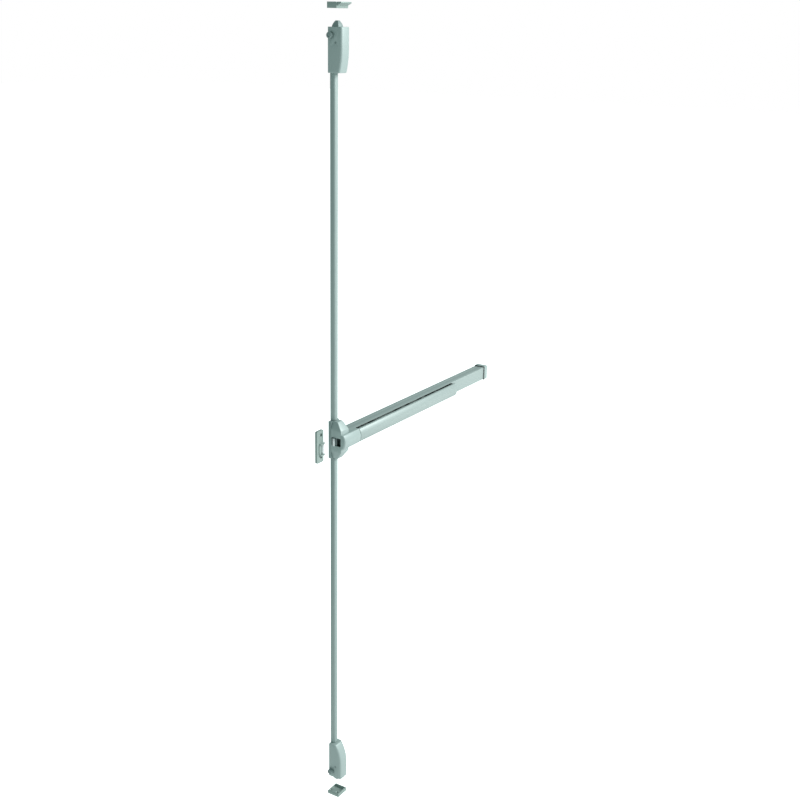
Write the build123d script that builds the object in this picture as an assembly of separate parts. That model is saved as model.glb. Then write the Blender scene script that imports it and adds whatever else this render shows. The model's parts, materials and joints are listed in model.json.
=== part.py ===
from build123d import *
from math import cos, radians, sin
import os

# Three-point panic exit bar: a touch bar across the door, a centre case with a side latch, and
# covered vertical rods to a latch at the top and a latch at the bottom, with their strikes.
# Millimetres. The origin is the centre of the centre case on the door's face. +X runs along the
# bar towards its end cap, +Z is up and the door lies in +Y. "out" is a distance from the door's
# face towards the user, so a point that stands out by d has Y = -d.

# ---------------------------------------------------------------- driving sizes
RUN = 0.3               # gap between pieces that slide past each other
SHAFT_GAP = 0.05        # radial gap of a crank or roller on its pin
SLOT_GAP = 0.25         # gap each side of a crank pin in its slot
BUTT_GAP = 0.5          # gap where a cover ends beside another cover
MOULD_GAP = 0.1         # gap round a plate that seats inside a case

# Bar body
bar_half = 18.5         # half height of the channel's front part
bar_step = 0.6          # how much lower the channel's rear part stands
rear_depth = 13.0       # depth of that rear part
bar_depth = 31.5        # out to the channel's front edges
bar_wall = 1.6
web = 2.0               # channel's back wall
bar_end = 752.0         # X of the channel's far end
pad_start = 55.0        # X where the nose cover ends and the push bar begins
pad_length = 500.0
near_gap = 2.0          # gap between the nose cover and the push bar
edge_round = 1.2        # round on the long front edges of the bar and on the cases' ends
far_cover_thick = 2.2
far_lip_depth = 10.0    # how far in from the channel's front edges the far cover's lips reach
far_lip = 1.5
cap_grow = 2.2          # how far the end cap stands out beyond the channel
cap_length = 19.0
cap_round = 3.0
cap_spigot = 6.0        # how far the end cap reaches into the channel

# Push bar
pad_half = 18.0
pad_back = 40.5         # out to the shell's rear edges, in front of the channel's edges
pad_edge = 45.5         # out to the shell's top and bottom front edges
pad_crown = 51.5        # out to the middle of the crowned front
pad_wall = 2.0
web_wall = 1.4
cell_inset = 1.0        # how far behind the shell's front edges its hollow's corners lie
pad_web = 42.5          # out to the rear face of the inner web
plug_thick = 3.0
buffer_r = 2.7          # round rubber buffers at the push bar's ends
buffer_in = 3.4         # from the push bar's end to a buffer's middle
stop_r = 4.0            # rubber stops behind the push bar
stop_z = 8.0
stop_xs = (144.0, 329.0, 434.0)
stop_play = 0.2         # how far short of the stops the cranks' limit lies
guide_xs = (180.0, 300.0, 420.0)
guide_wall = 2.5

# Centre case
head_half_x = 17.0
head_half_z = 50.0
head_wall = 1.6
tray_depth = 8.5        # out to the joint between the back plate and the cover
plate = 2.5             # thickness of the centre case's and the latches' back plates
head_top_depth = 24.0   # depth of the cover at its top and bottom ends
head_depth = 39.0       # depth of the cover at the bar
shoulder_z = 29.5       # where the sloped shoulders start
head_top_half = 10.6    # half width of the cover at its top and bottom ends
nose_corner = 9.0
nose_rib_x = 24.0       # X of the rib across the inside of the nose cover
nose_rib = 2.0
cover_gap = 1.2         # gap between the centre case and each rod cover
case_edge = 1.4         # round on the centre cover's edges
cover_screw_out = 18.0
cover_screw_z = 24.5
cover_screw_r = 2.0
screw_core_r = 1.5      # radius of the small screws' threads
screw_reach = 4.0

# Side latch
latch_z = -2.0          # height of the side latch's axis
latch_half = 10.0       # half height of the bolt
latch_back = 16.5       # the bolt's body, inside the case
latch_front = 24.5
latch_tail = 8.0        # X of the body's end
nose_back = 11.6        # the bolt's nose, where it leaves the case
nose_front = 22.0
nose_root = -12.0       # X where the nose joins the body
guide_wide = 3.0        # wall round the bolt in its guide
guide_deep = 2.5
latch_spring_end = 24.0
latch_spring_r = 3.4
latch_spring_wire = 0.9
latch_spring_shift = 2.5
latch_round = 1.8
latch_reach = 5.5       # how far the bolt stands out of the case
window_half = 11.0
window_back = 9.5
window_front = 38.0

# Rods and their covers
rod_r = 4.0
rod_behind = 0.25       # gap between a rod and the back plates
cover_half = 8.5
cover_room = 2.75       # from a rod's front to its cover's front
cover_wall = 1.2
cover_round = 3.5
cover_lip = 2.0
cover_lip_thick = 1.0
clip_shares = (0.12, 0.5, 0.88)
clip_half = 4.0
clip_foot_half = 8.0
clip_foot_thick = 1.2
top_cover_length = 858.0
bottom_cover_length = 849.0

# Top and bottom latches, measured from the end where the rod enters
case_length = 103.0
case_half = 17.0
case_wall = 1.6
case_depth = 39.0
case_end_depth = 27.0   # depth at the end where the rod enters
case_straight = 48.0    # length of the straight front beside the bolt
case_round = 6.5
case_screw_out = 21.5
case_screw_r = 2.6
case_screw_stand = 0.6
connector_start = 36.0
bolt_half = 10.0
bolt_back = 5.5
bolt_front = 25.0
bolt_reach = 14.0
bolt_tail = 60.0        # where the bolt meets its connector
bolt_tip_half = 4.5
bolt_tip_depth = 7.0
guide_start = 62.0
guide_length = 12.0
button_r = 7.6
button_out = 8.4
button_from_end = 18.5
button_stand = 9.5
button_travel = 5.0
button_inner = 1.0      # how far the button starts inside the case's outer face
button_round = 2.4
dish_r = 3.2            # the small dish in the button's face
dish_depth = 1.0

# Mechanism: two bell cranks in the bar, one rod crank in the centre case
pin_r = 1.5
pivot_r = 2.0
half_swing = 25.0       # bell cranks swing this far each side of square
push_arm = 8.3          # pin circle of the arm that the push bar works
draw_arm = 14.0         # pin circle of the arm that pulls the draw bar
pivot_out = 27.5
crank_half = 1.5        # half thickness of the bell crank plates
rod_half_swing = 35.0   # the rod crank swings this far each side of level
rod_arm = 11.0          # pin circle of its two rod arms
near_x = 84.0           # X of the near bell crank's pivot
crank_spacing = 410.0   # near crank to far crank
ear_inner = 8.0         # half gap between a bracket's ears
ear = 2.0
spring_r = 4.2
spring_wire = 1.0
spring_z = 9.3
spring_beside = 26.0    # X from a crank's pivot to its return springs

# Fixing holes
fixing_r = 2.75
head_fix_x = 9.0
head_fix_z = 42.0
case_fix_x = 11.0
case_fix_near = 10.0
case_fix_far = 94.0
end_fix_x = 720.0
end_fix_z = 9.0
strike_screw_r = 2.2

# Strikes
strike_gap = 27.0       # top bolt's tip to the top strike
top_strike_half = 24.0
top_strike_back = 2.0
top_strike_front = 29.0
top_strike_thick = 14.0
top_strike_lip = 40.0   # out to the end of its lead-in lip
top_strike_ramp = 9.0   # height of the lip's sloped underside
top_hole_x = 19.0
top_hole_out = 16.0
pocket_gap = 0.6
pocket_depth = 9.0
bottom_strike_gap = 28.0
bottom_strike_left = -27.0
bottom_strike_right = 13.5
bottom_strike_back = 2.0
bottom_strike_front = 39.0
bottom_strike_thick = 9.0
bottom_strike_floor = 1.5
bottom_strike_bevel = 1.8
bottom_strike_rim = 2.4
bottom_hole_x = -20.0
bottom_hole_outs = (9.0, 30.0)
side_strike_left = -75.0
side_strike_right = -47.0
side_strike_plate = 6.0
side_strike_front = 11.0
side_strike_top = 38.0
side_strike_bottom = -48.0
side_strike_round = 4.0
side_hole_x = -57.0
side_holes_z = (25.5, -33.0)
side_hole_r = 2.6
slot_x = -66.0          # the dark slot beside the roller
slot_half = 1.6
ear_x = -45.5
ear_thick = 4.0
roller_x = -51.0
roller_out = 6.5
roller_r = 3.4
roller_pin_r = 1.5
roller_top = -0.5
roller_bottom = -26.5
roller_room = 1.2       # gap between the roller and the plate beside it

# ---------------------------------------------------------------- worked-out places
bar_start = head_half_x + RUN
pad_end = pad_start + pad_length
rod_out = plate + rod_behind + rod_r
cover_depth = rod_out + rod_r + cover_room
bar_inner = bar_half - bar_wall
push_travel = 2 * push_arm * sin(radians(half_swing))
draw_travel = 2 * draw_arm * sin(radians(half_swing))
rod_travel = 2 * rod_arm * sin(radians(rod_half_swing))
yoke_arm = draw_travel / (2 * sin(radians(rod_half_swing)))
top_start = head_half_z + top_cover_length
bottom_start = head_half_z + bottom_cover_length
slot_r = pin_r + SLOT_GAP
lug_out = pivot_out + push_arm * sin(radians(half_swing))
lug_dx = -push_arm * cos(radians(half_swing))
draw_dx = -draw_arm * sin(radians(half_swing))
draw_pin_out = pivot_out - draw_arm * cos(radians(half_swing))
draw_mid_out = pivot_out - draw_arm
case_screw_z = guide_start + guide_length / 2
crank_xs = (near_x, near_x + crank_spacing)

# Draw bar strip
strip_back = 8.5
strip_front = 18.5
strip_top = -crank_half - 0.5
strip_thick = 2.5

# Layers in the centre case, as distances out
coupler_back = 4.0
coupler_front = 6.5
rod_crank_back = 8.0
rod_crank_front = 10.5
yoke_back = 12.0
yoke_front = 14.5
coupler_half = 4.3      # half height of the couplers' slotted ends
coupler_outer = 14.6
coupler_foot = 30.0
coupler_top = 40.0


# ---------------------------------------------------------------- helpers
def block(x0, x1, out0, out1, z0, z1):
    """A box between two X, two distances out and two Z."""
    centre = Pos((x0 + x1) / 2, -(out0 + out1) / 2, (z0 + z1) / 2)
    return centre * Box(x1 - x0, out1 - out0, z1 - z0)


def pin_x(out, z, r, x0, x1):
    return Pos((x0 + x1) / 2, -out, z) * Rot(0, 90, 0) * Cylinder(r, x1 - x0)


def pin_y(x, z, r, out0, out1):
    return Pos(x, -(out0 + out1) / 2, z) * Rot(90, 0, 0) * Cylinder(r, out1 - out0)


def pin_z(x, out, r, z0, z1):
    return Pos(x, -out, (z0 + z1) / 2) * Cylinder(r, z1 - z0)


def along_x(face, x0, x1):
    """Extrude a section drawn as (Y, Z) from x0 to x1."""
    return Pos(x0, 0, 0) * extrude(Plane.YZ * face, x1 - x0)


def section(points):
    """A (Y, Z) section from (out, z) corners."""
    return make_face(Polyline([(-out, z) for out, z in points], close=True))


def hull_xz(circles, out0, out1):
    """A plate across the door: the hull of (x, z, r) circles, from out0 to out1."""
    edges = []
    for x, z, r in circles:
        edges += (Pos(x, z) * Circle(r)).edges()
    face = make_hull(edges)
    return Pos(0, -out0, 0) * extrude(Plane.XZ * face, out1 - out0)


def hull_xy(circles, z0, z1):
    """A flat plate: the hull of (x, out, r) circles, from z0 to z1."""
    edges = []
    for x, out, r in circles:
        edges += (Pos(x, -out) * Circle(r)).edges()
    return Pos(0, 0, z0) * extrude(make_hull(edges), z1 - z0)


def csk_y(x, z, r, out):
    """A countersink cut, wide at the face that stands out by this much."""
    depth = r * 0.8
    return Pos(x, -(out - depth / 2), z) * Rot(90, 0, 0) * Cone(r, 1.8 * r, depth)


def export(name, shape):
    export_step(shape, f"parts/{name}.step")


def group(solids):
    return Compound(children=list(solids))


# ---------------------------------------------------------------- bar body
def chassis_channel():
    low = bar_half - bar_step
    half = [(0, low), (rear_depth, low), (rear_depth + bar_step, bar_half), (bar_depth, bar_half),
            (bar_depth, bar_inner), (web, bar_inner)]
    outline = half + [(out, -z) for out, z in reversed(half)]
    body = along_x(section(outline), bar_start, bar_end)
    for z in (-end_fix_z, end_fix_z):
        body -= pin_y(end_fix_x, z, fixing_r, -1, web + 1)
    return body


def push_bar_section(half, edge, crown, back):
    front = ThreePointArc((-edge, -half), (-crown, 0), (-edge, half))
    sides = Polyline([(-edge, half), (-back, half), (-back, -half), (-edge, -half)])
    return make_face([front] + list(sides.edges()))


def push_bar():
    """The hollow touch bar: a crowned shell with a closed cell behind its front."""
    inner = pad_half - pad_wall
    shell = push_bar_section(pad_half, pad_edge, pad_crown, pad_back)
    cell_edge = pad_edge - cell_inset
    cell_front = ThreePointArc((-cell_edge, -inner), (-pad_crown + pad_wall, 0), (-cell_edge, inner))
    cell_back = pad_web + web_wall
    cell_side = Polyline([(-cell_edge, inner), (-cell_back, inner), (-cell_back, -inner),
                          (-cell_edge, -inner)])
    shell -= make_face([cell_front] + list(cell_side.edges()))
    shell -= section([(pad_back - 1, -inner), (pad_web, -inner), (pad_web, inner), (pad_back - 1, inner)])
    body = along_x(shell, pad_start + near_gap, pad_end - BUTT_GAP)
    front_edges = body.edges().filter_by(Axis.X).filter_by(lambda e: -e.center().Y > pad_edge - 0.1)
    front_edges = front_edges.filter_by(lambda e: abs(abs(e.center().Z) - pad_half) < 0.01)
    return fillet(front_edges, edge_round)


def push_bar_end_caps():
    """Plugs that close the ends of the push bar's hollow front."""
    half = pad_half - pad_wall
    plug = push_bar_section(half, pad_edge - cell_inset, pad_crown - pad_wall, pad_web + web_wall)
    left = along_x(plug, pad_start + near_gap, pad_start + near_gap + plug_thick)
    right = along_x(plug, pad_end - BUTT_GAP - plug_thick, pad_end - BUTT_GAP)
    return group([left, right])


def push_bar_buffers():
    """Round rubber strips across the push bar's ends that cushion it against the channel."""
    out = (bar_depth + pad_back) / 2
    half = pad_half - pad_wall
    strips = []
    for x in (pad_start + near_gap + buffer_in, pad_end - buffer_in):
        strips.append(hull_xy([(x, out, buffer_r), (x, pad_web - buffer_r, buffer_r)], -half, half))
    return group(strips)


def far_cover():
    """The flat cover that closes the channel beyond the push bar."""
    start = pad_end + BUTT_GAP
    face = block(start, bar_end, bar_depth - far_cover_thick, bar_depth, -bar_inner, bar_inner)
    for side in (-1, 1):
        z0, z1 = sorted((side * bar_inner, side * (bar_inner - far_lip)))
        face += block(start, bar_end, bar_depth - far_lip_depth, bar_depth, z0, z1)
    return face


def nose_cover():
    """The fixed front that carries the push bar's shape across the centre case."""
    inner = bar_half - pad_wall
    outer = along_x(push_bar_section(bar_half, pad_edge, pad_crown, bar_depth), -head_half_x, pad_start)
    corner = outer.edges().filter_by(lambda e: abs(e.center().X + head_half_x) < 0.01)
    corner = corner.filter_by(lambda e: -e.center().Y > pad_edge + 0.5)
    outer = fillet(corner, nose_corner)
    long_edges = outer.edges().filter_by(Axis.X).filter_by(lambda e: -e.center().Y > pad_edge - 0.1)
    outer = fillet(long_edges, edge_round)
    hollow = push_bar_section(inner, pad_edge - cell_inset, pad_crown - pad_wall, bar_depth - 1)
    hollow_start = -head_half_x + nose_corner
    outer -= along_x(hollow, hollow_start, pad_start + 1)
    outer -= block(-head_half_x - 1, head_half_x, 0, head_depth, -bar_half - 1, bar_half + 1)
    outer += block(nose_rib_x, nose_rib_x + nose_rib, bar_depth, pad_edge, -inner, inner)
    return outer


def end_cap():
    """The moulded cap over the channel's far end, with a spigot that presses into it."""
    front = bar_depth + cap_grow
    half = bar_half + cap_grow
    body = block(bar_end, bar_end + cap_length, 0, front, -half, half)
    edges = body.edges().filter_by(lambda e: e.center().X > bar_end + cap_length - 0.1)
    edges += body.edges().filter_by(Axis.X).filter_by(lambda e: -e.center().Y > bar_depth)
    body = fillet(edges.filter_by(lambda e: -e.center().Y > 0.1), cap_round)
    spigot_out = bar_depth - far_lip_depth - RUN
    return body + block(bar_end - cap_spigot, bar_end, web, spigot_out, -bar_inner + RUN, bar_inner - RUN)


def end_bracket():
    body = block(end_fix_x - 15, end_fix_x + 12, web, web + 2.5, -bar_inner + RUN, bar_inner - RUN)
    for side in (-1, 1):
        z0, z1 = sorted((side * (bar_inner - RUN), side * (bar_inner - RUN - 2)))
        body += block(end_fix_x - 15, end_fix_x + 12, web, bar_depth - 12, z0, z1)
    for z in (-end_fix_z, end_fix_z):
        body -= pin_y(end_fix_x, z, fixing_r, web - 1, web + 4)
    return body


# ---------------------------------------------------------------- mechanism in the bar
def bell_crank(x):
    arms = hull_xy([(x, pivot_out, 4.0), (x + lug_dx, lug_out, 3.0)], -crank_half, crank_half)
    arms += hull_xy([(x, pivot_out, 4.0), (x + draw_dx, draw_pin_out, 3.2)], -crank_half, crank_half)
    body = arms + pin_z(x, pivot_out, 4.0, -ear_inner + RUN, ear_inner - RUN)
    body -= pin_z(x, pivot_out, pivot_r + SHAFT_GAP, -ear_inner, ear_inner)
    body -= pin_z(x + lug_dx, lug_out, pin_r, -crank_half - 1, crank_half + 1)
    body -= pin_z(x + draw_dx, draw_pin_out, pin_r, -crank_half - 1, crank_half + 1)
    return body


def crank_pins(x):
    """The two pins pressed into a bell crank."""
    push_pin = pin_z(x + lug_dx, lug_out, pin_r, -6.8, 6.8)
    draw_pin = pin_z(x + draw_dx, draw_pin_out, pin_r, strip_top - strip_thick - 0.8, crank_half + 0.5)
    return group([push_pin, draw_pin])


def crank_bracket(x):
    foot = 14.0
    body = block(x - 6, x + foot, web, web + 2, -ear_inner - ear, ear_inner + ear)
    for side in (-1, 1):
        z0, z1 = sorted((side * ear_inner, side * (ear_inner + ear)))
        body += block(x - 5, x + 5, web, pivot_out, z0, z1)
        body += pin_z(x, pivot_out, 5.0, z0, z1)
    body -= pin_z(x, pivot_out, pivot_r, -ear_inner - ear - 1, ear_inner + ear + 1)
    return body


def crank_pivot(x):
    return pin_z(x, pivot_out, pivot_r, -ear_inner - ear - 0.8, ear_inner + ear + 0.8)


def push_lugs(x):
    """Two slotted plates behind the push bar that work a bell crank."""
    right = x - 4.0 - 0.4
    left = x - 13.0
    body = block(left - 2, right + 2, pad_web - 2, pad_web, -7, 7)
    for side in (-1, 1):
        z0, z1 = sorted((side * 3.5, side * 6.0))
        body += block(left, right, lug_out - 4, pad_web - 1, z0, z1)
    sweep_x = push_arm - abs(lug_dx)
    slot = hull_xy([(x + lug_dx, lug_out, slot_r), (x + lug_dx - sweep_x, lug_out, slot_r)], -10, 10)
    return body - slot


def return_springs():
    springs = []
    height = pad_web - web
    turns = 9
    for x in crank_xs:
        for z in (-spring_z, spring_z):
            path = Helix(pitch=(height - 2 * spring_wire) / turns, height=height - 2 * spring_wire,
                         radius=spring_r)
            start = Plane(origin=path @ 0, z_dir=path % 0)
            coil = sweep(start * Circle(spring_wire / 2), path=path)
            place = Pos(x + spring_beside, -web - spring_wire, z) * Rot(90, 0, 0)
            springs.append(place * coil)
    return group(springs)


def draw_bar():
    """The flat strip that both bell cranks pull, with the upright yoke for the rod crank."""
    z0 = strip_top - strip_thick
    start = -yoke_arm * sin(radians(rod_half_swing)) - 4.0
    body = block(start, crank_xs[1] + 12, strip_back, strip_front, z0, strip_top)
    body -= block(start - 1, head_half_x + 8, yoke_front, strip_front + 1, z0 - 1, strip_top + 1)
    body -= block(start - 1, head_half_x + 8, strip_back - 1, yoke_back, z0 - 1, strip_top + 1)
    yoke_x = start + 4.0
    top = yoke_arm + slot_r + 2.5
    body += block(yoke_x - 4, yoke_x + 4, yoke_back, yoke_front, z0, top)
    low = yoke_arm * cos(radians(rod_half_swing))
    slot = hull_xz([(yoke_x, low, slot_r), (yoke_x, yoke_arm, slot_r)], yoke_back - 1, yoke_front + 1)
    body -= slot
    for x in crank_xs:
        at = x + draw_dx
        body -= hull_xy([(at, draw_pin_out, slot_r), (at, draw_mid_out, slot_r)], z0 - 1, strip_top + 1)
    return body


def draw_bar_guides():
    guides = []
    low = strip_top - strip_thick
    for x in guide_xs:
        body = block(x - 5, x + 5, web, strip_front + guide_wall, low - guide_wall, strip_top + guide_wall)
        body -= block(x - 6, x + 6, strip_back - RUN, strip_front + RUN, low - RUN, strip_top + RUN)
        guides.append(body)
    return group(guides)


def push_bar_stops():
    """Rubber buffers on the channel's back wall that end the push bar's travel."""
    top = pad_web - push_travel - stop_play
    return group(pin_y(x, stop_z, stop_r, web, top) for x in stop_xs)


# ---------------------------------------------------------------- centre case
def head_outline(half_x, half_z, top_half, shoulder):
    points = [(half_x, shoulder), (top_half, half_z), (-top_half, half_z), (-half_x, shoulder),
              (-half_x, -shoulder), (-top_half, -half_z), (top_half, -half_z), (half_x, -shoulder)]
    return make_face(Polyline(points, close=True))


def head_form(inset):
    """The centre cover's outer form, or its hollow when inset is its wall."""
    front = head_outline(head_half_x - inset, head_half_z - inset, head_top_half - inset, shoulder_z)
    prism = extrude(Plane.XZ * front, head_depth + 10)
    depth = head_depth - inset
    end_depth = head_top_depth - inset
    top = head_half_z - inset
    start = tray_depth if inset == 0 else tray_depth - 1
    side = section([(start, -top), (end_depth, -top), (depth, -shoulder_z), (depth, shoulder_z),
                    (end_depth, top), (start, top)])
    return prism & along_x(side, -head_half_x - 1, head_half_x + 1)


def head_cover():
    outer = head_form(0)
    edges = outer.edges().filter_by(lambda e: -e.center().Y > tray_depth + 0.5)
    outer = fillet(edges.filter_by(lambda e: abs(e.center().Z) > 1), case_edge)
    body = outer - head_form(head_wall)
    body -= block(-head_half_x - 1, -head_half_x + head_wall + 1, window_back, window_front,
                  latch_z - window_half, latch_z + window_half)
    body -= block(head_half_x - head_wall - 1, head_half_x + 1, tray_depth - 1, bar_depth - bar_wall,
                  -bar_inner + 1, bar_inner - 1)
    for side in (-1, 1):
        body -= pin_z(0, rod_out, rod_r + RUN, side * head_half_z - 5, side * head_half_z + 5)
        body -= pin_x(cover_screw_out, side * cover_screw_z, cover_screw_r, 0, head_half_x + 1)
    return body


def head_back_plate():
    body = block(-head_half_x, head_half_x, 0, tray_depth, -head_half_z, head_half_z)
    inner_x = head_half_x - head_wall
    inner_z = head_half_z - head_wall
    body -= block(-inner_x, inner_x, plate, tray_depth + 1, -inner_z, inner_z)
    flange = block(-inner_x, inner_x, tray_depth - head_wall, tray_depth, -inner_z, inner_z)
    opening = head_outline(inner_x, inner_z, head_top_half - head_wall, shoulder_z)
    flange -= extrude(Plane.XZ * opening, tray_depth + 1)
    body += flange
    body -= block(0, head_half_x + 1, plate + 1.5, tray_depth + 1, -bar_inner + 1, bar_inner - 1)
    for side in (-1, 1):
        body -= pin_z(0, rod_out, rod_r + RUN, side * head_half_z - 5, side * head_half_z + 5)
        for x in (-head_fix_x, head_fix_x):
            body -= pin_y(x, side * head_fix_z, fixing_r, -1, tray_depth + 1)
    body -= pin_y(0, 0, pivot_r, plate / 2, plate + 1)
    tab_back = coupler_front + RUN
    tab = block(inner_x - 2, inner_x, tab_back, cover_screw_out + 4, cover_screw_z - 3.5, cover_screw_z + 3.5)
    for side in (-1, 1):
        piece = tab if side > 0 else mirror(tab, about=Plane.XY)
        body += piece - pin_x(cover_screw_out, side * cover_screw_z, screw_core_r, 0, head_half_x)
    return body


def head_cover_screws():
    screws = []
    for side in (-1, 1):
        z = side * cover_screw_z
        seat = head_half_x - head_wall
        head = pin_x(cover_screw_out, z, cover_screw_r, seat, head_half_x)
        shank = pin_x(cover_screw_out, z, screw_core_r, seat - screw_reach, seat)
        screws.append(head + shank)
    return group(screws)


def latch_bolt():
    """The side latch bolt: a slanted, rounded nose nearer the door than the body behind it."""
    tip = -head_half_x - latch_reach
    slope = latch_reach + 1.0
    bevel = (nose_front - nose_back) / 2
    outline = [(tip + slope, -nose_back), (nose_root, -nose_back), (nose_root, -latch_back),
               (latch_tail, -latch_back), (latch_tail, -latch_front), (nose_root, -latch_front),
               (nose_root, -nose_front), (tip, -nose_front), (tip, -nose_front + bevel)]
    face = make_face(Polyline(outline, close=True))
    body = Pos(0, 0, latch_z - latch_half) * extrude(face, 2 * latch_half)
    nose = body.edges().filter_by(lambda e: e.center().X < tip + 0.2)
    return fillet(nose.filter_by(Axis.Z), latch_round)


def latch_guide():
    """The three-sided frame inside the case's left wall that the side latch bolt runs in."""
    inner = -head_half_x + head_wall
    half = latch_half + guide_wide
    body = block(inner, inner + guide_deep, rod_crank_front + 1, nose_front + guide_wide, latch_z - half,
                 latch_z + half)
    body -= block(inner - 1, inner + guide_deep + 1, 0, nose_front + RUN, latch_z - latch_half - RUN,
                  latch_z + latch_half + RUN)
    return body


def latch_spring():
    length = latch_spring_end - latch_tail - 2 * latch_spring_wire
    path = Helix(pitch=length / 6, height=length, radius=latch_spring_r)
    coil = sweep(Plane(origin=path @ 0, z_dir=path % 0) * Circle(latch_spring_wire / 2), path=path)
    middle = (latch_back + latch_front) / 2 + latch_spring_shift
    return Pos(latch_tail + latch_spring_wire, -middle, latch_z) * Rot(0, 90, 0) * coil


def latch_spring_stop():
    """The plate across the channel that the latch spring pushes against."""
    end = latch_spring_end + plate
    body = block(latch_spring_end, end, web, bar_depth - BUTT_GAP, -12, 12)
    low = strip_top - strip_thick - RUN
    body -= block(latch_spring_end - 1, end + 1, strip_back - 1, strip_front + RUN, low, strip_top + RUN)
    return body


def rod_crank():
    """The three-armed crank that turns the draw bar's pull into both rods' travel."""
    angle = radians(rod_half_swing)
    right = (rod_arm * cos(angle), rod_arm * sin(angle))
    top = (-yoke_arm * sin(angle), yoke_arm * cos(angle))
    pins = (right, (-right[0], -right[1]), top)
    body = pin_y(0, 0, 4.8, rod_crank_back, rod_crank_front)
    for x, z in pins:
        body += hull_xz([(0, 0, 4.5), (x, z, 3.0)], rod_crank_back, rod_crank_front)
    body -= pin_y(0, 0, pivot_r + SHAFT_GAP, rod_crank_back - 1, rod_crank_front + 1)
    for x, z in pins:
        body -= pin_y(x, z, pin_r, rod_crank_back - 1, rod_crank_front + 1)
    return body


def rod_crank_pins():
    angle = radians(rod_half_swing)
    right = (rod_arm * cos(angle), rod_arm * sin(angle))
    top = (-yoke_arm * sin(angle), yoke_arm * cos(angle))
    return group([pin_y(right[0], right[1], pin_r, coupler_back - 0.5, rod_crank_front),
                  pin_y(-right[0], -right[1], pin_r, coupler_back - 0.5, rod_crank_front),
                  pin_y(top[0], top[1], pin_r, rod_crank_back, yoke_front + 0.4)])


def rod_crank_pivot():
    return pin_y(0, 0, pivot_r, plate / 2, rod_crank_front + 0.8)


def rod_coupler(side):
    """Joins a rod to its arm of the rod crank: +1 is the top rod's, -1 the bottom rod's."""
    angle = radians(rod_half_swing)
    at = (rod_arm * cos(angle), rod_arm * sin(angle))
    body = block(at[0] - 3.6, coupler_outer, coupler_back, coupler_front, at[1] - coupler_half,
                 coupler_foot + 6)
    body += block(-5, coupler_outer, coupler_back, coupler_front, coupler_foot, coupler_foot + 6)
    body += block(-5, 5, rod_out - rod_r + 0.2, rod_out + rod_r + 0.3, coupler_foot, coupler_top)
    slot = hull_xz([(at[0], at[1], slot_r), (rod_arm, at[1], slot_r)], coupler_back - 1, coupler_front + 1)
    body -= slot
    return body if side > 0 else Rot(0, 180, 0) * body


# ---------------------------------------------------------------- rods and covers
def rod(side, start):
    """A rod from its coupler in the centre case to its connector in the latch."""
    z0 = coupler_top
    z1 = start + connector_start
    return pin_z(0, rod_out, rod_r, min(side * z0, side * z1), max(side * z0, side * z1))


def rod_cover(side, length):
    outer = [(-cover_half, 0), (-cover_half, -cover_depth), (cover_half, -cover_depth), (cover_half, 0)]
    inner_half = cover_half - cover_wall
    inner = [(inner_half, 0), (inner_half, -cover_depth + cover_wall),
             (-inner_half, -cover_depth + cover_wall), (-inner_half, 0)]
    body = extrude(make_face(Polyline(outer, close=True)), length - cover_gap - RUN)
    body = fillet(body.edges().filter_by(Axis.Z).filter_by(lambda e: -e.center().Y > 1), cover_round)
    hollow = extrude(make_face(Polyline(inner, close=True)), length)
    hollow = fillet(hollow.edges().filter_by(Axis.Z).filter_by(lambda e: -e.center().Y > 1),
                    cover_round - cover_wall)
    body -= hollow
    for way in (-1, 1):
        x0, x1 = sorted((way * inner_half, way * (inner_half - cover_lip)))
        body += block(x0, x1, 0, cover_lip_thick, 0, length - cover_gap - RUN)
    near = head_half_z + cover_gap
    return Pos(0, 0, near if side > 0 else RUN - head_half_z - length) * body


def rod_cover_clips(side, length):
    """Spring clips on the door that the rod cover snaps over, with a hole that guides the rod."""
    clips = []
    half = cover_half - cover_wall
    foot_half = half - cover_lip - RUN
    for share in clip_shares:
        z = side * (head_half_z + share * length)
        foot = block(-foot_half, foot_half, 0, clip_foot_thick, z - clip_foot_half, z + clip_foot_half)
        body = block(-half + RUN, half - RUN, clip_foot_thick, cover_depth - cover_wall - RUN, z - clip_half,
                     z + clip_half)
        front = body.edges().filter_by(Axis.Z).filter_by(lambda e: -e.center().Y > 2)
        body = foot + fillet(front, cover_round - cover_wall)
        body -= pin_z(0, rod_out, rod_r + RUN, z - 10, z + 10)
        clips.append(body)
    return group(clips)


# ---------------------------------------------------------------- top and bottom latches
def placed(solid, side, start):
    """Put a latch piece, drawn upwards from z = 0, at the top or mirrored at the bottom."""
    if side > 0:
        return Pos(0, 0, start) * solid
    return Pos(0, 0, -start) * mirror(solid, about=Plane.XY)


def case_form(inset):
    half = case_half - inset
    depth = case_depth - inset
    end_depth = case_end_depth - inset
    low = inset
    high = case_length - inset
    straight = case_length - case_straight
    lean = (depth - end_depth) * 0.28
    curve = ThreePointArc((-depth, straight), (-depth + lean, (straight + low) * 0.48), (-end_depth, low))
    back = 0 if inset == 0 else 1
    rest = Polyline([(-end_depth, low), (back, low), (back, high), (-depth, high), (-depth, straight)])
    return along_x(make_face([curve] + list(rest.edges())), -half, half)


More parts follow.
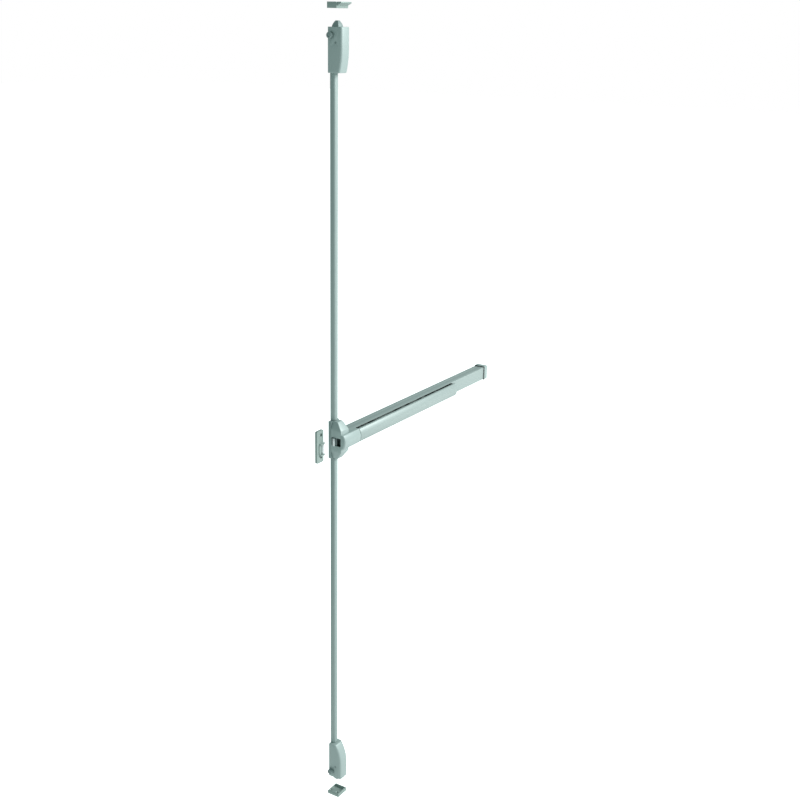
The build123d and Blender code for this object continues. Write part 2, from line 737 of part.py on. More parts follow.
def latch_case():
    outer = case_form(0)
    front = outer.edges().filter_by(lambda e: -e.center().Y > case_end_depth)
    front = front.filter_by(lambda e: abs(abs(e.center().X) - case_half) < 0.01)
    front = front.filter_by(lambda e: e.length > 20 and abs(e.center().Z - case_length) > 1)
    outer = fillet(front, case_round)
    top = outer.edges().filter_by(lambda e: e.center().Z > case_length - 0.01 and -e.center().Y > 0.1)
    outer = fillet(top, edge_round)
    hollow = case_form(case_wall)
    inner = hollow.edges().filter_by(lambda e: -e.center().Y > case_end_depth)
    inner = inner.filter_by(lambda e: abs(abs(e.center().X) - case_half + case_wall) < 0.01)
    inner = inner.filter_by(lambda e: e.length > 20 and abs(e.center().Z - case_length + case_wall) > 1)
    body = outer - fillet(inner, case_round - case_wall)
    end = case_length
    body -= block(-bolt_half - RUN, bolt_half + RUN, bolt_back - RUN, bolt_front + RUN, end - 5, end + 1)
    body -= pin_z(0, rod_out, rod_r + RUN, -1, case_wall + 1)
    body -= block(-rod_r - RUN, rod_r + RUN, -1, rod_out, -1, case_wall + 1)
    button_z = end - button_from_end
    body -= pin_x(button_out, button_z, button_r + RUN, -case_half - 1, -case_half + case_wall + 1)
    for way in (-1, 1):
        x0, x1 = sorted((way * (case_half - case_wall - 1), way * (case_half + 1)))
        body -= pin_x(case_screw_out, case_screw_z, case_screw_r, x0, x1)
    return body


def latch_back_plate():
    """The latch's back plate, notched where the trip button comes in."""
    half = case_half - case_wall - MOULD_GAP
    edge = case_wall + MOULD_GAP
    body = block(-half, half, 0, plate, edge, case_length - edge)
    for x in (-case_fix_x, case_fix_x):
        for z in (case_fix_near, case_fix_far):
            body -= pin_y(x, z, fixing_r, -1, plate + 1)
    reach = button_inner + button_travel + 1
    body -= pin_x(button_out, case_length - button_from_end, button_r + RUN, -case_half, -case_half + reach)
    return body


def bolt_guide():
    """The guide block on the latch's back plate that the bolt runs through."""
    half = case_half - case_wall - MOULD_GAP
    body = block(-half, half, plate, bolt_front + 4, guide_start, guide_start + guide_length)
    body -= block(-bolt_half - RUN, bolt_half + RUN, bolt_back - RUN, bolt_front + RUN,
                  guide_start - 1, guide_start + guide_length + 1)
    for way in (-1, 1):
        x0, x1 = sorted((way * (half + 1), way * (half - 4.0)))
        body -= pin_x(case_screw_out, case_screw_z, screw_core_r, x0, x1)
    return body


def case_screws():
    screws = []
    for way in (-1, 1):
        outer = way * (case_half + case_screw_stand)
        step = way * (case_half - case_wall - MOULD_GAP)
        inner = step - way * (screw_reach - BUTT_GAP)
        head = pin_x(case_screw_out, case_screw_z, case_screw_r, min(outer, step), max(outer, step))
        shank = pin_x(case_screw_out, case_screw_z, screw_core_r, min(inner, step), max(inner, step))
        screws.append(head + shank)
    return group(screws)


def rod_bolt():
    """A latch bolt with a tapered, rounded tip."""
    centre = (bolt_back + bolt_front) / 2
    wide = bolt_front - bolt_back
    shoulder = case_length + 1.5
    tip = case_length + bolt_reach
    body = block(-bolt_half, bolt_half, bolt_back, bolt_front, bolt_tail, shoulder)
    body = fillet(body.edges().filter_by(Axis.Z), 2.0)
    base = Pos(0, -centre, shoulder) * RectangleRounded(2 * bolt_half, wide, 2.0)
    crown = Pos(0, -centre, tip) * RectangleRounded(2 * bolt_tip_half, bolt_tip_depth, 2.0)
    nose = loft([base, crown])
    nose = fillet(nose.edges().filter_by(lambda e: e.center().Z > tip - 0.01), 1.2)
    return body + nose


def rod_connector():
    """Block that joins the rod to the bolt."""
    body = block(-6, 6, rod_out - rod_r + 0.2, 20, connector_start, bolt_tail)
    return fillet(body.edges().filter_by(Axis.Z), 1.0)


def trip_button():
    z = case_length - button_from_end
    body = pin_x(button_out, z, button_r, -case_half - button_stand, -case_half + button_inner)
    rim = body.edges().filter_by(lambda e: e.center().X < -case_half - button_stand + 0.1)
    body = fillet(rim, button_round)
    face = -case_half - button_stand
    dish = pin_x(button_out, z, dish_r, face - 1, face + dish_depth)
    return body - dish


# ---------------------------------------------------------------- strikes
def top_strike():
    """A block with a pocket in its underside and a lead-in lip that slopes up in front."""
    low = top_start + case_length + bolt_reach + strike_gap
    high = low + top_strike_thick
    body = block(-top_strike_half, top_strike_half, top_strike_back, top_strike_front, low, high)
    body = fillet(body.edges().filter_by(Axis.Z), edge_round)
    lip = section([(top_strike_front - 6, high), (top_strike_lip, high), (top_strike_lip, high - 3),
                   (top_strike_front - 6, high - 3 - top_strike_ramp)])
    body += along_x(lip, -top_strike_half + 3, top_strike_half - 3)
    body -= block(-bolt_half - pocket_gap, bolt_half + pocket_gap, bolt_back - 3, bolt_front + pocket_gap,
                  low - 1, low + pocket_depth)
    for way in (-1, 1):
        body -= pin_z(way * top_hole_x, top_hole_out, strike_screw_r, low - 1, high + 1)
    return body


def bottom_strike():
    """A floor plate with a deep pocket under the bolt and a bevelled edge all round."""
    high = -(bottom_start + case_length + bolt_reach + bottom_strike_gap)
    low = high - bottom_strike_thick
    body = block(bottom_strike_left, bottom_strike_right, bottom_strike_back, bottom_strike_front, low, high)
    body = fillet(body.edges().filter_by(Axis.Z), 2.0)
    rim = body.edges().filter_by(lambda e: e.center().Z > high - 0.01)
    body = chamfer(rim, bottom_strike_bevel)
    body -= block(-bolt_half - pocket_gap, bottom_strike_right - bottom_strike_rim, bolt_back - 3,
                  bottom_strike_front - 2 * bottom_strike_rim, low + bottom_strike_floor, high + 1)
    for out in bottom_hole_outs:
        body -= pin_z(bottom_hole_x, out, strike_screw_r, low - 1, high + 1)
        body -= Pos(bottom_hole_x, -out, high - 1.0) * Cone(strike_screw_r, 1.9 * strike_screw_r, 2.0)
    return body


def side_strike():
    """The strike on the frame beside the latch: a plate with two ears that hold a roller."""
    front = side_strike_plate
    body = block(side_strike_left, side_strike_right, 0, front, side_strike_bottom, side_strike_top)
    body = fillet(body.edges().filter_by(Axis.Y), side_strike_round)
    recess = roller_x - roller_r - roller_room
    body -= block(recess, side_strike_right + 1, -1, front + 1, roller_bottom - RUN, roller_top + RUN)
    body -= block(slot_x - slot_half, slot_x + slot_half, -1, front + 1, roller_bottom, roller_top)
    reach = side_strike_front - roller_out
    ears = ((roller_top + RUN, roller_top + ear_thick), (roller_bottom - ear_thick, roller_bottom - RUN))
    for z0, z1 in ears:
        body += block(slot_x + slot_half, roller_x, 0, side_strike_front, z0, z1)
        body += pin_z(roller_x, roller_out, reach, z0, z1)
        body += block(roller_x, ear_x, 0, side_strike_front - 1, z0, z1)
        body -= pin_z(roller_x, roller_out, roller_pin_r, z0 - 1, z1 + 1)
    for z in side_holes_z:
        body -= pin_y(side_hole_x, z, side_hole_r, -1, front + 1)
        body -= csk_y(side_hole_x, z, side_hole_r, front)
    return body


def strike_roller():
    roller = pin_z(roller_x, roller_out, roller_r, roller_bottom, roller_top)
    return roller - pin_z(roller_x, roller_out, roller_pin_r + SHAFT_GAP, roller_bottom - 1, roller_top + 1)


def roller_pin():
    reach = ear_thick + BUTT_GAP
    return pin_z(roller_x, roller_out, roller_pin_r, roller_bottom - reach, roller_top + reach)


# ---------------------------------------------------------------- every piece
os.makedirs("parts", exist_ok=True)
pieces = {
    "chassis_channel": chassis_channel(),
    "push_bar": push_bar(),
    "push_bar_end_caps": push_bar_end_caps(),
    "push_bar_buffers": push_bar_buffers(),
    "far_cover": far_cover(),
    "nose_cover": nose_cover(),
    "end_cap": end_cap(),
    "end_bracket": end_bracket(),
    "return_springs": return_springs(),
    "draw_bar": draw_bar(),
    "draw_bar_guides": draw_bar_guides(),
    "push_bar_stops": push_bar_stops(),
    "head_cover": head_cover(),
    "head_back_plate": head_back_plate(),
    "head_cover_screws": head_cover_screws(),
    "latch_bolt": latch_bolt(),
    "latch_guide": latch_guide(),
    "latch_spring": latch_spring(),
    "latch_spring_stop": latch_spring_stop(),
    "rod_crank": rod_crank(),
    "rod_crank_pins": rod_crank_pins(),
    "rod_crank_pivot": rod_crank_pivot(),
    "top_strike": top_strike(),
    "bottom_strike": bottom_strike(),
    "side_strike": side_strike(),
    "strike_roller": strike_roller(),
    "roller_pin": roller_pin(),
}
for name, x in zip(("near", "far"), crank_xs):
    pieces[f"{name}_crank"] = bell_crank(x)
    pieces[f"{name}_crank_pins"] = crank_pins(x)
    pieces[f"{name}_crank_bracket"] = crank_bracket(x)
    pieces[f"{name}_crank_pivot"] = crank_pivot(x)
    pieces[f"{name}_push_lugs"] = push_lugs(x)
for name, side, start, length in (("top", 1, top_start, top_cover_length),
                                  ("bottom", -1, bottom_start, bottom_cover_length)):
    pieces[f"{name}_rod_coupler"] = rod_coupler(side)
    pieces[f"{name}_rod"] = rod(side, start)
    pieces[f"{name}_rod_cover"] = rod_cover(side, length)
    pieces[f"{name}_rod_clips"] = rod_cover_clips(side, length)
    pieces[f"{name}_latch_case"] = placed(latch_case(), side, start)
    pieces[f"{name}_latch_plate"] = placed(latch_back_plate(), side, start)
    pieces[f"{name}_bolt_guide"] = placed(bolt_guide(), side, start)
    pieces[f"{name}_case_screws"] = placed(case_screws(), side, start)
    pieces[f"{name}_bolt"] = placed(rod_bolt(), side, start)
    pieces[f"{name}_rod_connector"] = placed(rod_connector(), side, start)
    pieces[f"{name}_trip_button"] = placed(trip_button(), side, start)

for name, solid in pieces.items():
    export(name, solid)
print("travel: push bar", push_travel, "draw bar", draw_travel, "rods", rod_travel)
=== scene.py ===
"""Looks of a three-point panic exit bar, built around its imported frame.

The bar, the centre case, the covered rods, the two latches and the three strikes each have a class
that models its visible pieces and dresses them. Sizes are metres, in the frame's own axes: +X along
the bar, +Y into the door, +Z up.
"""
import json
import logging
import math
from contextlib import contextmanager
from dataclasses import dataclass, field
from enum import Enum
from typing import Callable, Iterator, Sequence

import bmesh
import bpy
from mathutils import Matrix, Vector

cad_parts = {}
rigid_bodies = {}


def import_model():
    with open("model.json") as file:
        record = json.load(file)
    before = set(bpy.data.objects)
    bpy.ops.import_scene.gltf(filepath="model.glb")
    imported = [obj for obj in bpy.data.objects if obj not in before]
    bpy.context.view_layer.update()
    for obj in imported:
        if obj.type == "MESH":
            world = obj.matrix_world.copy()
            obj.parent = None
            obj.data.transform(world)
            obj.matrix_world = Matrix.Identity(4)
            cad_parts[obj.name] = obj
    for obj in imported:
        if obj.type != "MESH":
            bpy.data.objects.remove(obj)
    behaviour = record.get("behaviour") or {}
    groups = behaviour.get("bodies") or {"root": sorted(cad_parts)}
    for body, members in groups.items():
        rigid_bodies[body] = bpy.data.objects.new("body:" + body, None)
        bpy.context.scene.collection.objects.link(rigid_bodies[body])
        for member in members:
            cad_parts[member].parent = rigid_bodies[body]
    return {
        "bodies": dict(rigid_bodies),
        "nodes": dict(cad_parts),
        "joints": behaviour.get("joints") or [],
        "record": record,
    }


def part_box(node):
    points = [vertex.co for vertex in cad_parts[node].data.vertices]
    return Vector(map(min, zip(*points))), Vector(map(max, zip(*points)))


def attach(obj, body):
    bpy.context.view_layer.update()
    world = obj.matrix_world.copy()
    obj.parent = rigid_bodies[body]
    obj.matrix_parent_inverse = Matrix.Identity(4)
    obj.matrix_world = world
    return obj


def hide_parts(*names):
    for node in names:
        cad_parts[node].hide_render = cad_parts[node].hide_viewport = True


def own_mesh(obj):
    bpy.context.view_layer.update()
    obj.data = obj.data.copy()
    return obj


LOG = logging.getLogger("panic_exit_bar")
NEAR = 1e-5
ALONG = 0.9
SQUARELY = 0.99
Colour = tuple[float, float, float]
Place = Sequence[float]
Socket = bpy.types.NodeSocket
Test = Callable[[Vector, Vector], bool]


class Body(str, Enum):
    """The moving bodies that pieces ride on."""

    FRAME = "frame"
    PUSH_BAR = "push_bar"
    SIDE_LATCH = "side_latch"
    TOP_ROD = "top_rod"
    BOTTOM_ROD = "bottom_rod"
    TOP_BUTTON = "top_trip_button"
    BOTTOM_BUTTON = "bottom_trip_button"
    ROLLER = "strike_roller"


class Slot(str, Enum):
    """The record's material slots."""

    EXTRUSION = "silver_lacquer"
    CASTING = "satin_lacquer"
    BASE = "base_lacquer"
    ROD_COVER = "cover_lacquer"
    STRIKE = "strike_steel"
    BRIGHT = "bright_steel"
    DARK = "dark_steel"
    ZINC = "zinc_steel"
    SPRING = "spring_steel"
    PLASTIC = "grey_plastic"
    RUBBER = "black_rubber"


# ---------------------------------------------------------------------------- finishes
class NodeSheet:
    """A material's node tree, filled from the surface back to the pattern."""

    def __init__(self, name: str) -> None:
        """Start a material with a Principled shader and Object coordinates.

        Args:
            name: The material's name.
        """
        self.material = bpy.data.materials.new(name)
        self.material.use_nodes = True
        self.tree = self.material.node_tree
        self.shader = self.tree.nodes["Principled BSDF"]
        self.place = self.tree.nodes.new("ShaderNodeTexCoord").outputs["Object"]

    def link(self, source: Socket, target: Socket) -> None:
        """Join two sockets."""
        self.tree.links.new(source, target)

    def noise(self, scale: float, stretch: Place = (1, 1, 1), detail: float = 3) -> Socket:
        """Add a noise pattern on Object coordinates.

        Args:
            scale: Features per metre.
            stretch: How much finer the pattern is along each axis.
            detail: Octaves of noise.

        Returns:
            The noise value's socket.
        """
        mapping = self.tree.nodes.new("ShaderNodeMapping")
        mapping.inputs["Scale"].default_value = stretch
        self.link(self.place, mapping.inputs["Vector"])
        noise = self.tree.nodes.new("ShaderNodeTexNoise")
        noise.inputs["Scale"].default_value = scale
        noise.inputs["Detail"].default_value = detail
        self.link(mapping.outputs["Vector"], noise.inputs["Vector"])
        return noise.outputs["Fac"]

    def ramp(self, value: Socket, low: float, high: float) -> Socket:
        """Map a 0 to 1 pattern onto low to high.

        Args:
            value: The pattern.
            low: The result where the pattern is 0.25.
            high: The result where the pattern is 0.75.

        Returns:
            The mapped value's socket.
        """
        node = self.tree.nodes.new("ShaderNodeMapRange")
        node.inputs["From Min"].default_value = 0.25
        node.inputs["From Max"].default_value = 0.75
        node.inputs["To Min"].default_value = low
        node.inputs["To Max"].default_value = high
        self.link(value, node.inputs["Value"])
        return node.outputs["Result"]

    def tint(self, value: Socket, first: Colour, second: Colour) -> None:
        """Colour the surface between two shades by a pattern.

        Args:
            value: The pattern, 0 for the first shade and 1 for the second.
            first: The first shade.
            second: The second shade.
        """
        mix = self.tree.nodes.new("ShaderNodeMix")
        mix.data_type = "RGBA"
        mix.inputs["A"].default_value = (*first, 1)
        mix.inputs["B"].default_value = (*second, 1)
        self.link(value, mix.inputs["Factor"])
        self.link(mix.outputs["Result"], self.shader.inputs["Base Color"])

    def roughen(self, value: Socket, low: float, high: float) -> None:
        """Let a pattern run the surface's roughness from low to high."""
        self.link(self.ramp(value, low, high), self.shader.inputs["Roughness"])

    def bump(self, height: Socket, depth: float, strength: float) -> None:
        """Raise the surface by a pattern.

        Args:
            height: The pattern.
            depth: The relief's full height in metres.
            strength: How strongly it shows.
        """
        node = self.tree.nodes.new("ShaderNodeBump")
        node.inputs["Distance"].default_value = depth
        node.inputs["Strength"].default_value = strength
        self.link(height, node.inputs["Height"])
        self.link(node.outputs["Normal"], self.shader.inputs["Normal"])


def shade(colour: Colour, factor: float) -> Colour:
    """A colour made lighter or darker by a factor."""
    return tuple(min(1.0, channel * factor) for channel in colour)


@dataclass(frozen=True)
class Lacquer:
    """Satin silver lacquer over metal: a faint mottle and a fine orange-peel relief."""

    name: str
    colour: Colour
    metallic: float = 0.35
    roughness: float = 0.42
    peel: float = 0.00004
    grain: tuple[float, float, float] = (1, 1, 1)

    def build(self) -> bpy.types.Material:
        """Make the material."""
        sheet = NodeSheet(self.name)
        sheet.shader.inputs["Metallic"].default_value = self.metallic
        sheet.shader.inputs["Coat Weight"].default_value = 0.15
        sheet.shader.inputs["Coat Roughness"].default_value = 0.25
        mottle = sheet.noise(22, self.grain)
        sheet.tint(mottle, shade(self.colour, 0.95), shade(self.colour, 1.05))
        speckle = sheet.noise(900, self.grain, 2)
        sheet.roughen(speckle, self.roughness - 0.04, self.roughness + 0.05)
        sheet.bump(speckle, self.peel, 0.35)
        return sheet.material


@dataclass(frozen=True)
class Plated:
    """Plated or passivated steel, with the fine drawn grain of the metal under it."""

    name: str
    colour: Colour
    roughness: float = 0.3
    grain: tuple[float, float, float] = (1, 1, 12)
    scratch: float = 0.00002

    def build(self) -> bpy.types.Material:
        """Make the material."""
        sheet = NodeSheet(self.name)
        sheet.shader.inputs["Metallic"].default_value = 1.0
        cloud = sheet.noise(60, (1, 1, 1), 4)
        sheet.tint(cloud, shade(self.colour, 0.88), shade(self.colour, 1.1))
        lines = sheet.noise(450, self.grain, 4)
        sheet.roughen(lines, self.roughness - 0.06, self.roughness + 0.1)
        sheet.bump(lines, self.scratch, 0.3)
        return sheet.material


@dataclass(frozen=True)
class Moulded:
    """Moulded plastic or rubber with a spark-eroded texture."""

    name: str
    colour: Colour
    roughness: float = 0.6
    grain: float = 1500

    def build(self) -> bpy.types.Material:
        """Make the material."""
        sheet = NodeSheet(self.name)
        sheet.tint(sheet.noise(90), shade(self.colour, 0.9), shade(self.colour, 1.1))
        texture = sheet.noise(self.grain, (1, 1, 1), 2)
        sheet.roughen(texture, self.roughness - 0.06, self.roughness + 0.08)
        sheet.bump(texture, 0.00003, 0.4)
        return sheet.material


GRAIN_X = (0.06, 1, 1)
GRAIN_Z = (1, 1, 0.06)
FINISHES = {
    Slot.EXTRUSION: Lacquer("extruded_silver_lacquer", (0.44, 0.52, 0.505), metallic=0.2, roughness=0.5,
                            grain=GRAIN_X),
    Slot.CASTING: Lacquer("cast_silver_lacquer", (0.46, 0.555, 0.54), metallic=0.2, roughness=0.5),
    Slot.BASE: Lacquer("base_silver_lacquer", (0.33, 0.42, 0.41), roughness=0.5),
    Slot.ROD_COVER: Lacquer("rolled_silver_lacquer", (0.4, 0.49, 0.475), metallic=0.1, roughness=0.55,
                            grain=GRAIN_Z),
    Slot.STRIKE: Lacquer("strike_silver_lacquer", (0.37, 0.46, 0.43), metallic=0.3, roughness=0.5),
    Slot.BRIGHT: Plated("bright_nickel", (0.86, 0.9, 0.9), roughness=0.16),
    Slot.DARK: Lacquer("dark_phosphated_steel", (0.31, 0.39, 0.38), metallic=0.2, roughness=0.55),
    # Partly painted shade: the zinc plate, the spring wire and the polyamide are darkened past their own
    # tones, so the inner parts seen through the bar's slit and the case's window carry the shade there.
    Slot.ZINC: Plated("zinc_plate_shade_darkened", (0.3, 0.34, 0.34), roughness=0.5, grain=(12, 1, 1)),
    Slot.SPRING: Plated("spring_wire_shade_darkened", (0.14, 0.15, 0.15), roughness=0.45),
    Slot.PLASTIC: Moulded("polyamide_shade_darkened", (0.06, 0.07, 0.07)),
    Slot.RUBBER: Moulded("black_rubber", (0.03, 0.03, 0.03), roughness=0.8, grain=900),
}


class Palette:
    """Every finish as a material, made once."""

    def __init__(self) -> None:
        """Build the materials."""
        self.materials = {slot: finish.build() for slot, finish in FINISHES.items()}

    def dress_cad(self, frame: dict) -> None:
        """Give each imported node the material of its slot.
        """
        for row in frame["record"]["subparts"]:
            node = frame["nodes"][row["node"]]
            node.data.materials.clear()
            node.data.materials.append(self.materials[Slot(row["material_slot"])])
            LOG.info("dressed %s in %s", row["node"], row["material_slot"])


# ---------------------------------------------------------------------------- bench
class Pick(Enum):
    """What an edit acts on."""

    FACE = "FACE"
    EDGE = "EDGE"
    VERT = "VERT"


class Way(Enum):
    """An axis to lay a round bar along."""

    X = Vector((1, 0, 0))
    Y = Vector((0, 1, 0))
    Z = Vector((0, 0, 1))


def measured(mesh: bmesh.types.BMesh, kind: Pick) -> Iterator[tuple]:
    """Walk a mesh's elements with their places and directions.

    Args:
        mesh: The mesh in edit mode.
        kind: Which elements to walk.

    Yields:
        The element, its middle, and its normal or, for an edge, its direction.
    """
    if kind is Pick.FACE:
        for face in mesh.faces:
            yield face, face.calc_center_median(), face.normal
    elif kind is Pick.EDGE:
        for edge in mesh.edges:
            first, second = (vert.co for vert in edge.verts)
            yield edge, (first + second) / 2, (second - first).normalized()
    else:
        for vert in mesh.verts:
            yield vert, vert.co, vert.normal


class Workpiece:
    """A mesh on the bench, shaped in edit mode and finished with applied modifiers."""

    def __init__(self, name: str) -> None:
        """Take up the primitive that was just added, and put its place in its mesh.

        Args:
            name: The piece's name.
        """
        self.object = bpy.context.object
        self.object.name = name
        self.object.data.name = name
        bpy.ops.object.transform_apply(location=True, rotation=True, scale=True)

    @classmethod
    def block(cls, name: str, low: Place, high: Place) -> "Workpiece":
        """Start from a block between two corners."""
        bpy.ops.object.select_all(action="DESELECT")
        low, high = Vector(low), Vector(high)
        bpy.ops.mesh.primitive_cube_add(size=1, location=(low + high) / 2, scale=high - low)
        return cls(name)

    @classmethod
    def bar(cls, name: str, way: Way, radius: float, start: Place, length: float,
            sides: int = 48) -> "Workpiece":
        """Start from a round bar.

        Args:
            name: The piece's name.
            way: The axis that it lies along.
            radius: Its radius.
            start: The middle of its lower end.
            length: Its length.
            sides: How many flats stand for the round.

        Returns:
            The bar.
        """
        bpy.ops.object.select_all(action="DESELECT")
        turn = Way.Z.value.rotation_difference(way.value).to_euler()
        middle = Vector(start) + way.value * length / 2
        bpy.ops.mesh.primitive_cylinder_add(vertices=sides, radius=radius, depth=length, location=middle,
                                            rotation=turn)
        return cls(name)

    @classmethod
    def coil(cls, name: str, radius: float, wire: float, length: float, turns: int) -> "Workpiece":
        """Wind a coil spring up along Z from the origin.

        Args:
            name: The piece's name.
            radius: From the spring's axis to the wire's middle.
            wire: The wire's thickness.
            length: The spring's length over its wire.
            turns: How many turns it has.

        Returns:
            The spring.
        """
        bpy.ops.object.select_all(action="DESELECT")
        bpy.ops.mesh.primitive_circle_add(vertices=10, radius=wire / 2, location=(radius, 0, wire / 2),
                                          rotation=(math.pi / 2, 0, 0))
        spring = cls(name)
        rise = (length - wire) / turns
        spring.modify("SCREW", screw_offset=rise, iterations=turns, steps=24, render_steps=24)
        with spring.picked(Pick.FACE, lambda at, way: True):
            bpy.ops.mesh.fill_holes(sides=0)
            bpy.ops.mesh.select_all(action="SELECT")
            bpy.ops.mesh.normals_make_consistent(inside=False)
        return spring

    def focus(self) -> None:
        """Make this the only selected object."""
        bpy.ops.object.select_all(action="DESELECT")
        self.object.select_set(True)
        bpy.context.view_layer.objects.active = self.object

    @contextmanager
    def picked(self, kind: Pick, test: Test) -> Iterator[None]:
        """Open edit mode with some elements selected.

        Args:
            kind: Which elements to choose from.
            test: Takes an element's middle and its direction, and says whether it is chosen.

        Yields:
            Nothing, while edit mode is open.
        """
        self.focus()
        bpy.ops.object.mode_set(mode="EDIT")
        bpy.ops.mesh.select_mode(type=kind.value)
        bpy.ops.mesh.select_all(action="DESELECT")
        mesh = bmesh.from_edit_mesh(self.object.data)
        for item, place, way in measured(mesh, kind):
            item.select_set(test(place, way))
        mesh.select_flush_mode()
        bmesh.update_edit_mesh(self.object.data)
        yield
        bpy.ops.object.mode_set(mode="OBJECT")

    def cut(self, place: Place, normal: Place, **clear: bool) -> None:
        """Cut right through along a plane, and clear a side of it if asked."""
        with self.picked(Pick.FACE, lambda at, way: True):
            bpy.ops.mesh.bisect(plane_co=place, plane_no=normal, **clear)

    def move(self, test: Test, shift: Place) -> None:
        """Shift the vertices that pass a test."""
        with self.picked(Pick.VERT, test):
            bpy.ops.transform.translate(value=shift)

    def resize(self, test: Test, factors: Place, middle: Place) -> None:
        """Scale the vertices that pass a test about a point."""
        with self.picked(Pick.VERT, test):
            bpy.ops.transform.resize(value=factors, center_override=middle)

    def bevel(self, test: Test, width: float, segments: int) -> None:
        """Round the edges that pass a test."""
        with self.picked(Pick.EDGE, test):
            bpy.ops.mesh.bevel(offset=width, segments=segments, affect="EDGES", clamp_overlap=True)

    def extrude(self, test: Test, shift: Place) -> None:
        """Draw out the faces that pass a test."""
        with self.picked(Pick.FACE, test):
            bpy.ops.mesh.extrude_region_move(TRANSFORM_OT_translate={"value": shift})

    def sink(self, test: Test, rim: float, shift: Place) -> None:
        """Inset the faces that pass a test, then draw them out or in."""
        with self.picked(Pick.FACE, test):
            bpy.ops.mesh.inset(thickness=rim)
            bpy.ops.mesh.extrude_region_move(TRANSFORM_OT_translate={"value": shift})

    def open(self, test: Test) -> None:
        """Delete the faces that pass a test."""
        with self.picked(Pick.FACE, test):
            bpy.ops.mesh.delete(type="FACE")

    def modify(self, kind: str, **settings: object) -> None:
        """Add a modifier with these settings, and apply it."""
        self.focus()
        bpy.ops.object.modifier_add(type=kind)
        modifier = self.object.modifiers[-1]
        for setting, value in settings.items():
            setattr(modifier, setting, value)
        bpy.ops.object.modifier_apply(modifier=modifier.name)

    def wall(self, thickness: float) -> None:
        """Give an open skin its wall, inwards."""
        with self.picked(Pick.FACE, lambda at, way: True):
            bpy.ops.mesh.remove_doubles(threshold=0.000001)
        self.modify("SOLIDIFY", thickness=thickness, offset=-1.0, use_even_offset=True)

    def carve(self, *tools: "Workpiece") -> None:
        """Cut other pieces out of this one, and put them away."""
        self.combine("DIFFERENCE", tools)

    def weld(self, *parts: "Workpiece") -> None:
        """Weld other pieces to this one."""
        self.combine("UNION", parts)

    def combine(self, operation: str, others: Sequence["Workpiece"]) -> None:
        """Run one boolean with each of the other pieces.

        Args:
            operation: DIFFERENCE or UNION.
            others: The pieces, which are used up.
        """
        for other in others:
            self.modify("BOOLEAN", operation=operation, object=other.object, solver="MANIFOLD")
            other.discard()

    def drill(self, way: Way, radius: float, start: Place, length: float, sides: int = 32) -> None:
        """Drill a round hole along an axis.

        Args:
            way: The hole's axis.
            radius: Its radius.
            start: The middle of its lower end.
            length: Its length.
            sides: How many flats stand for the round.
        """
        self.carve(Workpiece.bar("drill", way, radius, start, length, sides))

    def discard(self) -> None:
        """Put the piece away."""
        bpy.data.objects.remove(self.object)

    def soften(self, width: float = 0.0003, segments: int = 2, angle: float = 34) -> None:
        """Break every sharp edge a little."""
        self.modify("BEVEL", width=width, segments=segments, limit_method="ANGLE",
                    angle_limit=math.radians(angle), use_clamp_overlap=True)

    def copied(self, name: str, change: Matrix) -> "Workpiece":
        """Copy the piece, with a mesh of its own, moved or mirrored by a matrix."""
        twin = self.object.copy()
        twin.data = self.object.data.copy()
        bpy.context.scene.collection.objects.link(twin)
        twin.data.transform(change)
        if change.determinant() < 0:
            twin.data.flip_normals()
        other = object.__new__(Workpiece)
        other.object = twin
        twin.name = name
        twin.data.name = name
        return other


def crowned(z: float, half: float, crown: float) -> float:
    """How far a round front of this height stands out at z.

    Args:
        z: Height from the middle.
        half: Half of the front's height.
        crown: How far its middle stands out.

    Returns:
        The distance out at z.
    """
    radius = (half * half + crown * crown) / (2 * crown)
    return math.sqrt(radius * radius - z * z) - (radius - crown)


def raise_crown(piece: Workpiece, front: float, half: float, crown: float, rows: int) -> None:
    """Bow a block's flat front outwards, row by row.

    Args:
        piece: The block.
        front: Y of its flat front.
        half: Half of its height.
        crown: How far the middle stands out.
        rows: How many rows of faces make the bow.
    """
    heights = [half * (2 * row / rows - 1) for row in range(1, rows)]
    for z in heights:
        piece.cut((0, 0, z), (0, 0, 1))
    for z in heights:
        piece.move(lambda at, way: abs(at.z - z) < NEAR and abs(at.y - front) < NEAR,
                   (0, -crowned(z, half, crown), 0))


class Workshop:
    """Dresses finished pieces and fits them to the frame."""

    def __init__(self, palette: "Palette") -> None:
        """Keep the finishes at hand."""
        self.palette = palette

    def fit(self, piece: Workpiece, body: Body, slot: Slot, *nodes: str, angle: float = 32) -> None:
        """Give a piece its finish and its body, in place of the CAD nodes it stands for.

        Args:
            piece: The finished piece.
            body: The body that it rides on.
            slot: The material slot of its finish.
            nodes: The CAD nodes that it replaces.
            angle: The sharpest turn, in degrees, that is shaded smooth.
        """
        piece.focus()
        bpy.ops.object.shade_smooth_by_angle(angle=math.radians(angle))
        piece.object.data.materials.clear()
        piece.object.data.materials.append(self.palette.materials[slot])
        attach(piece.object, body.value)
        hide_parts(*nodes)
        LOG.info("%s rides on %s in %s, %d faces", piece.object.name, body.value, slot.value,
                 len(piece.object.data.polygons))


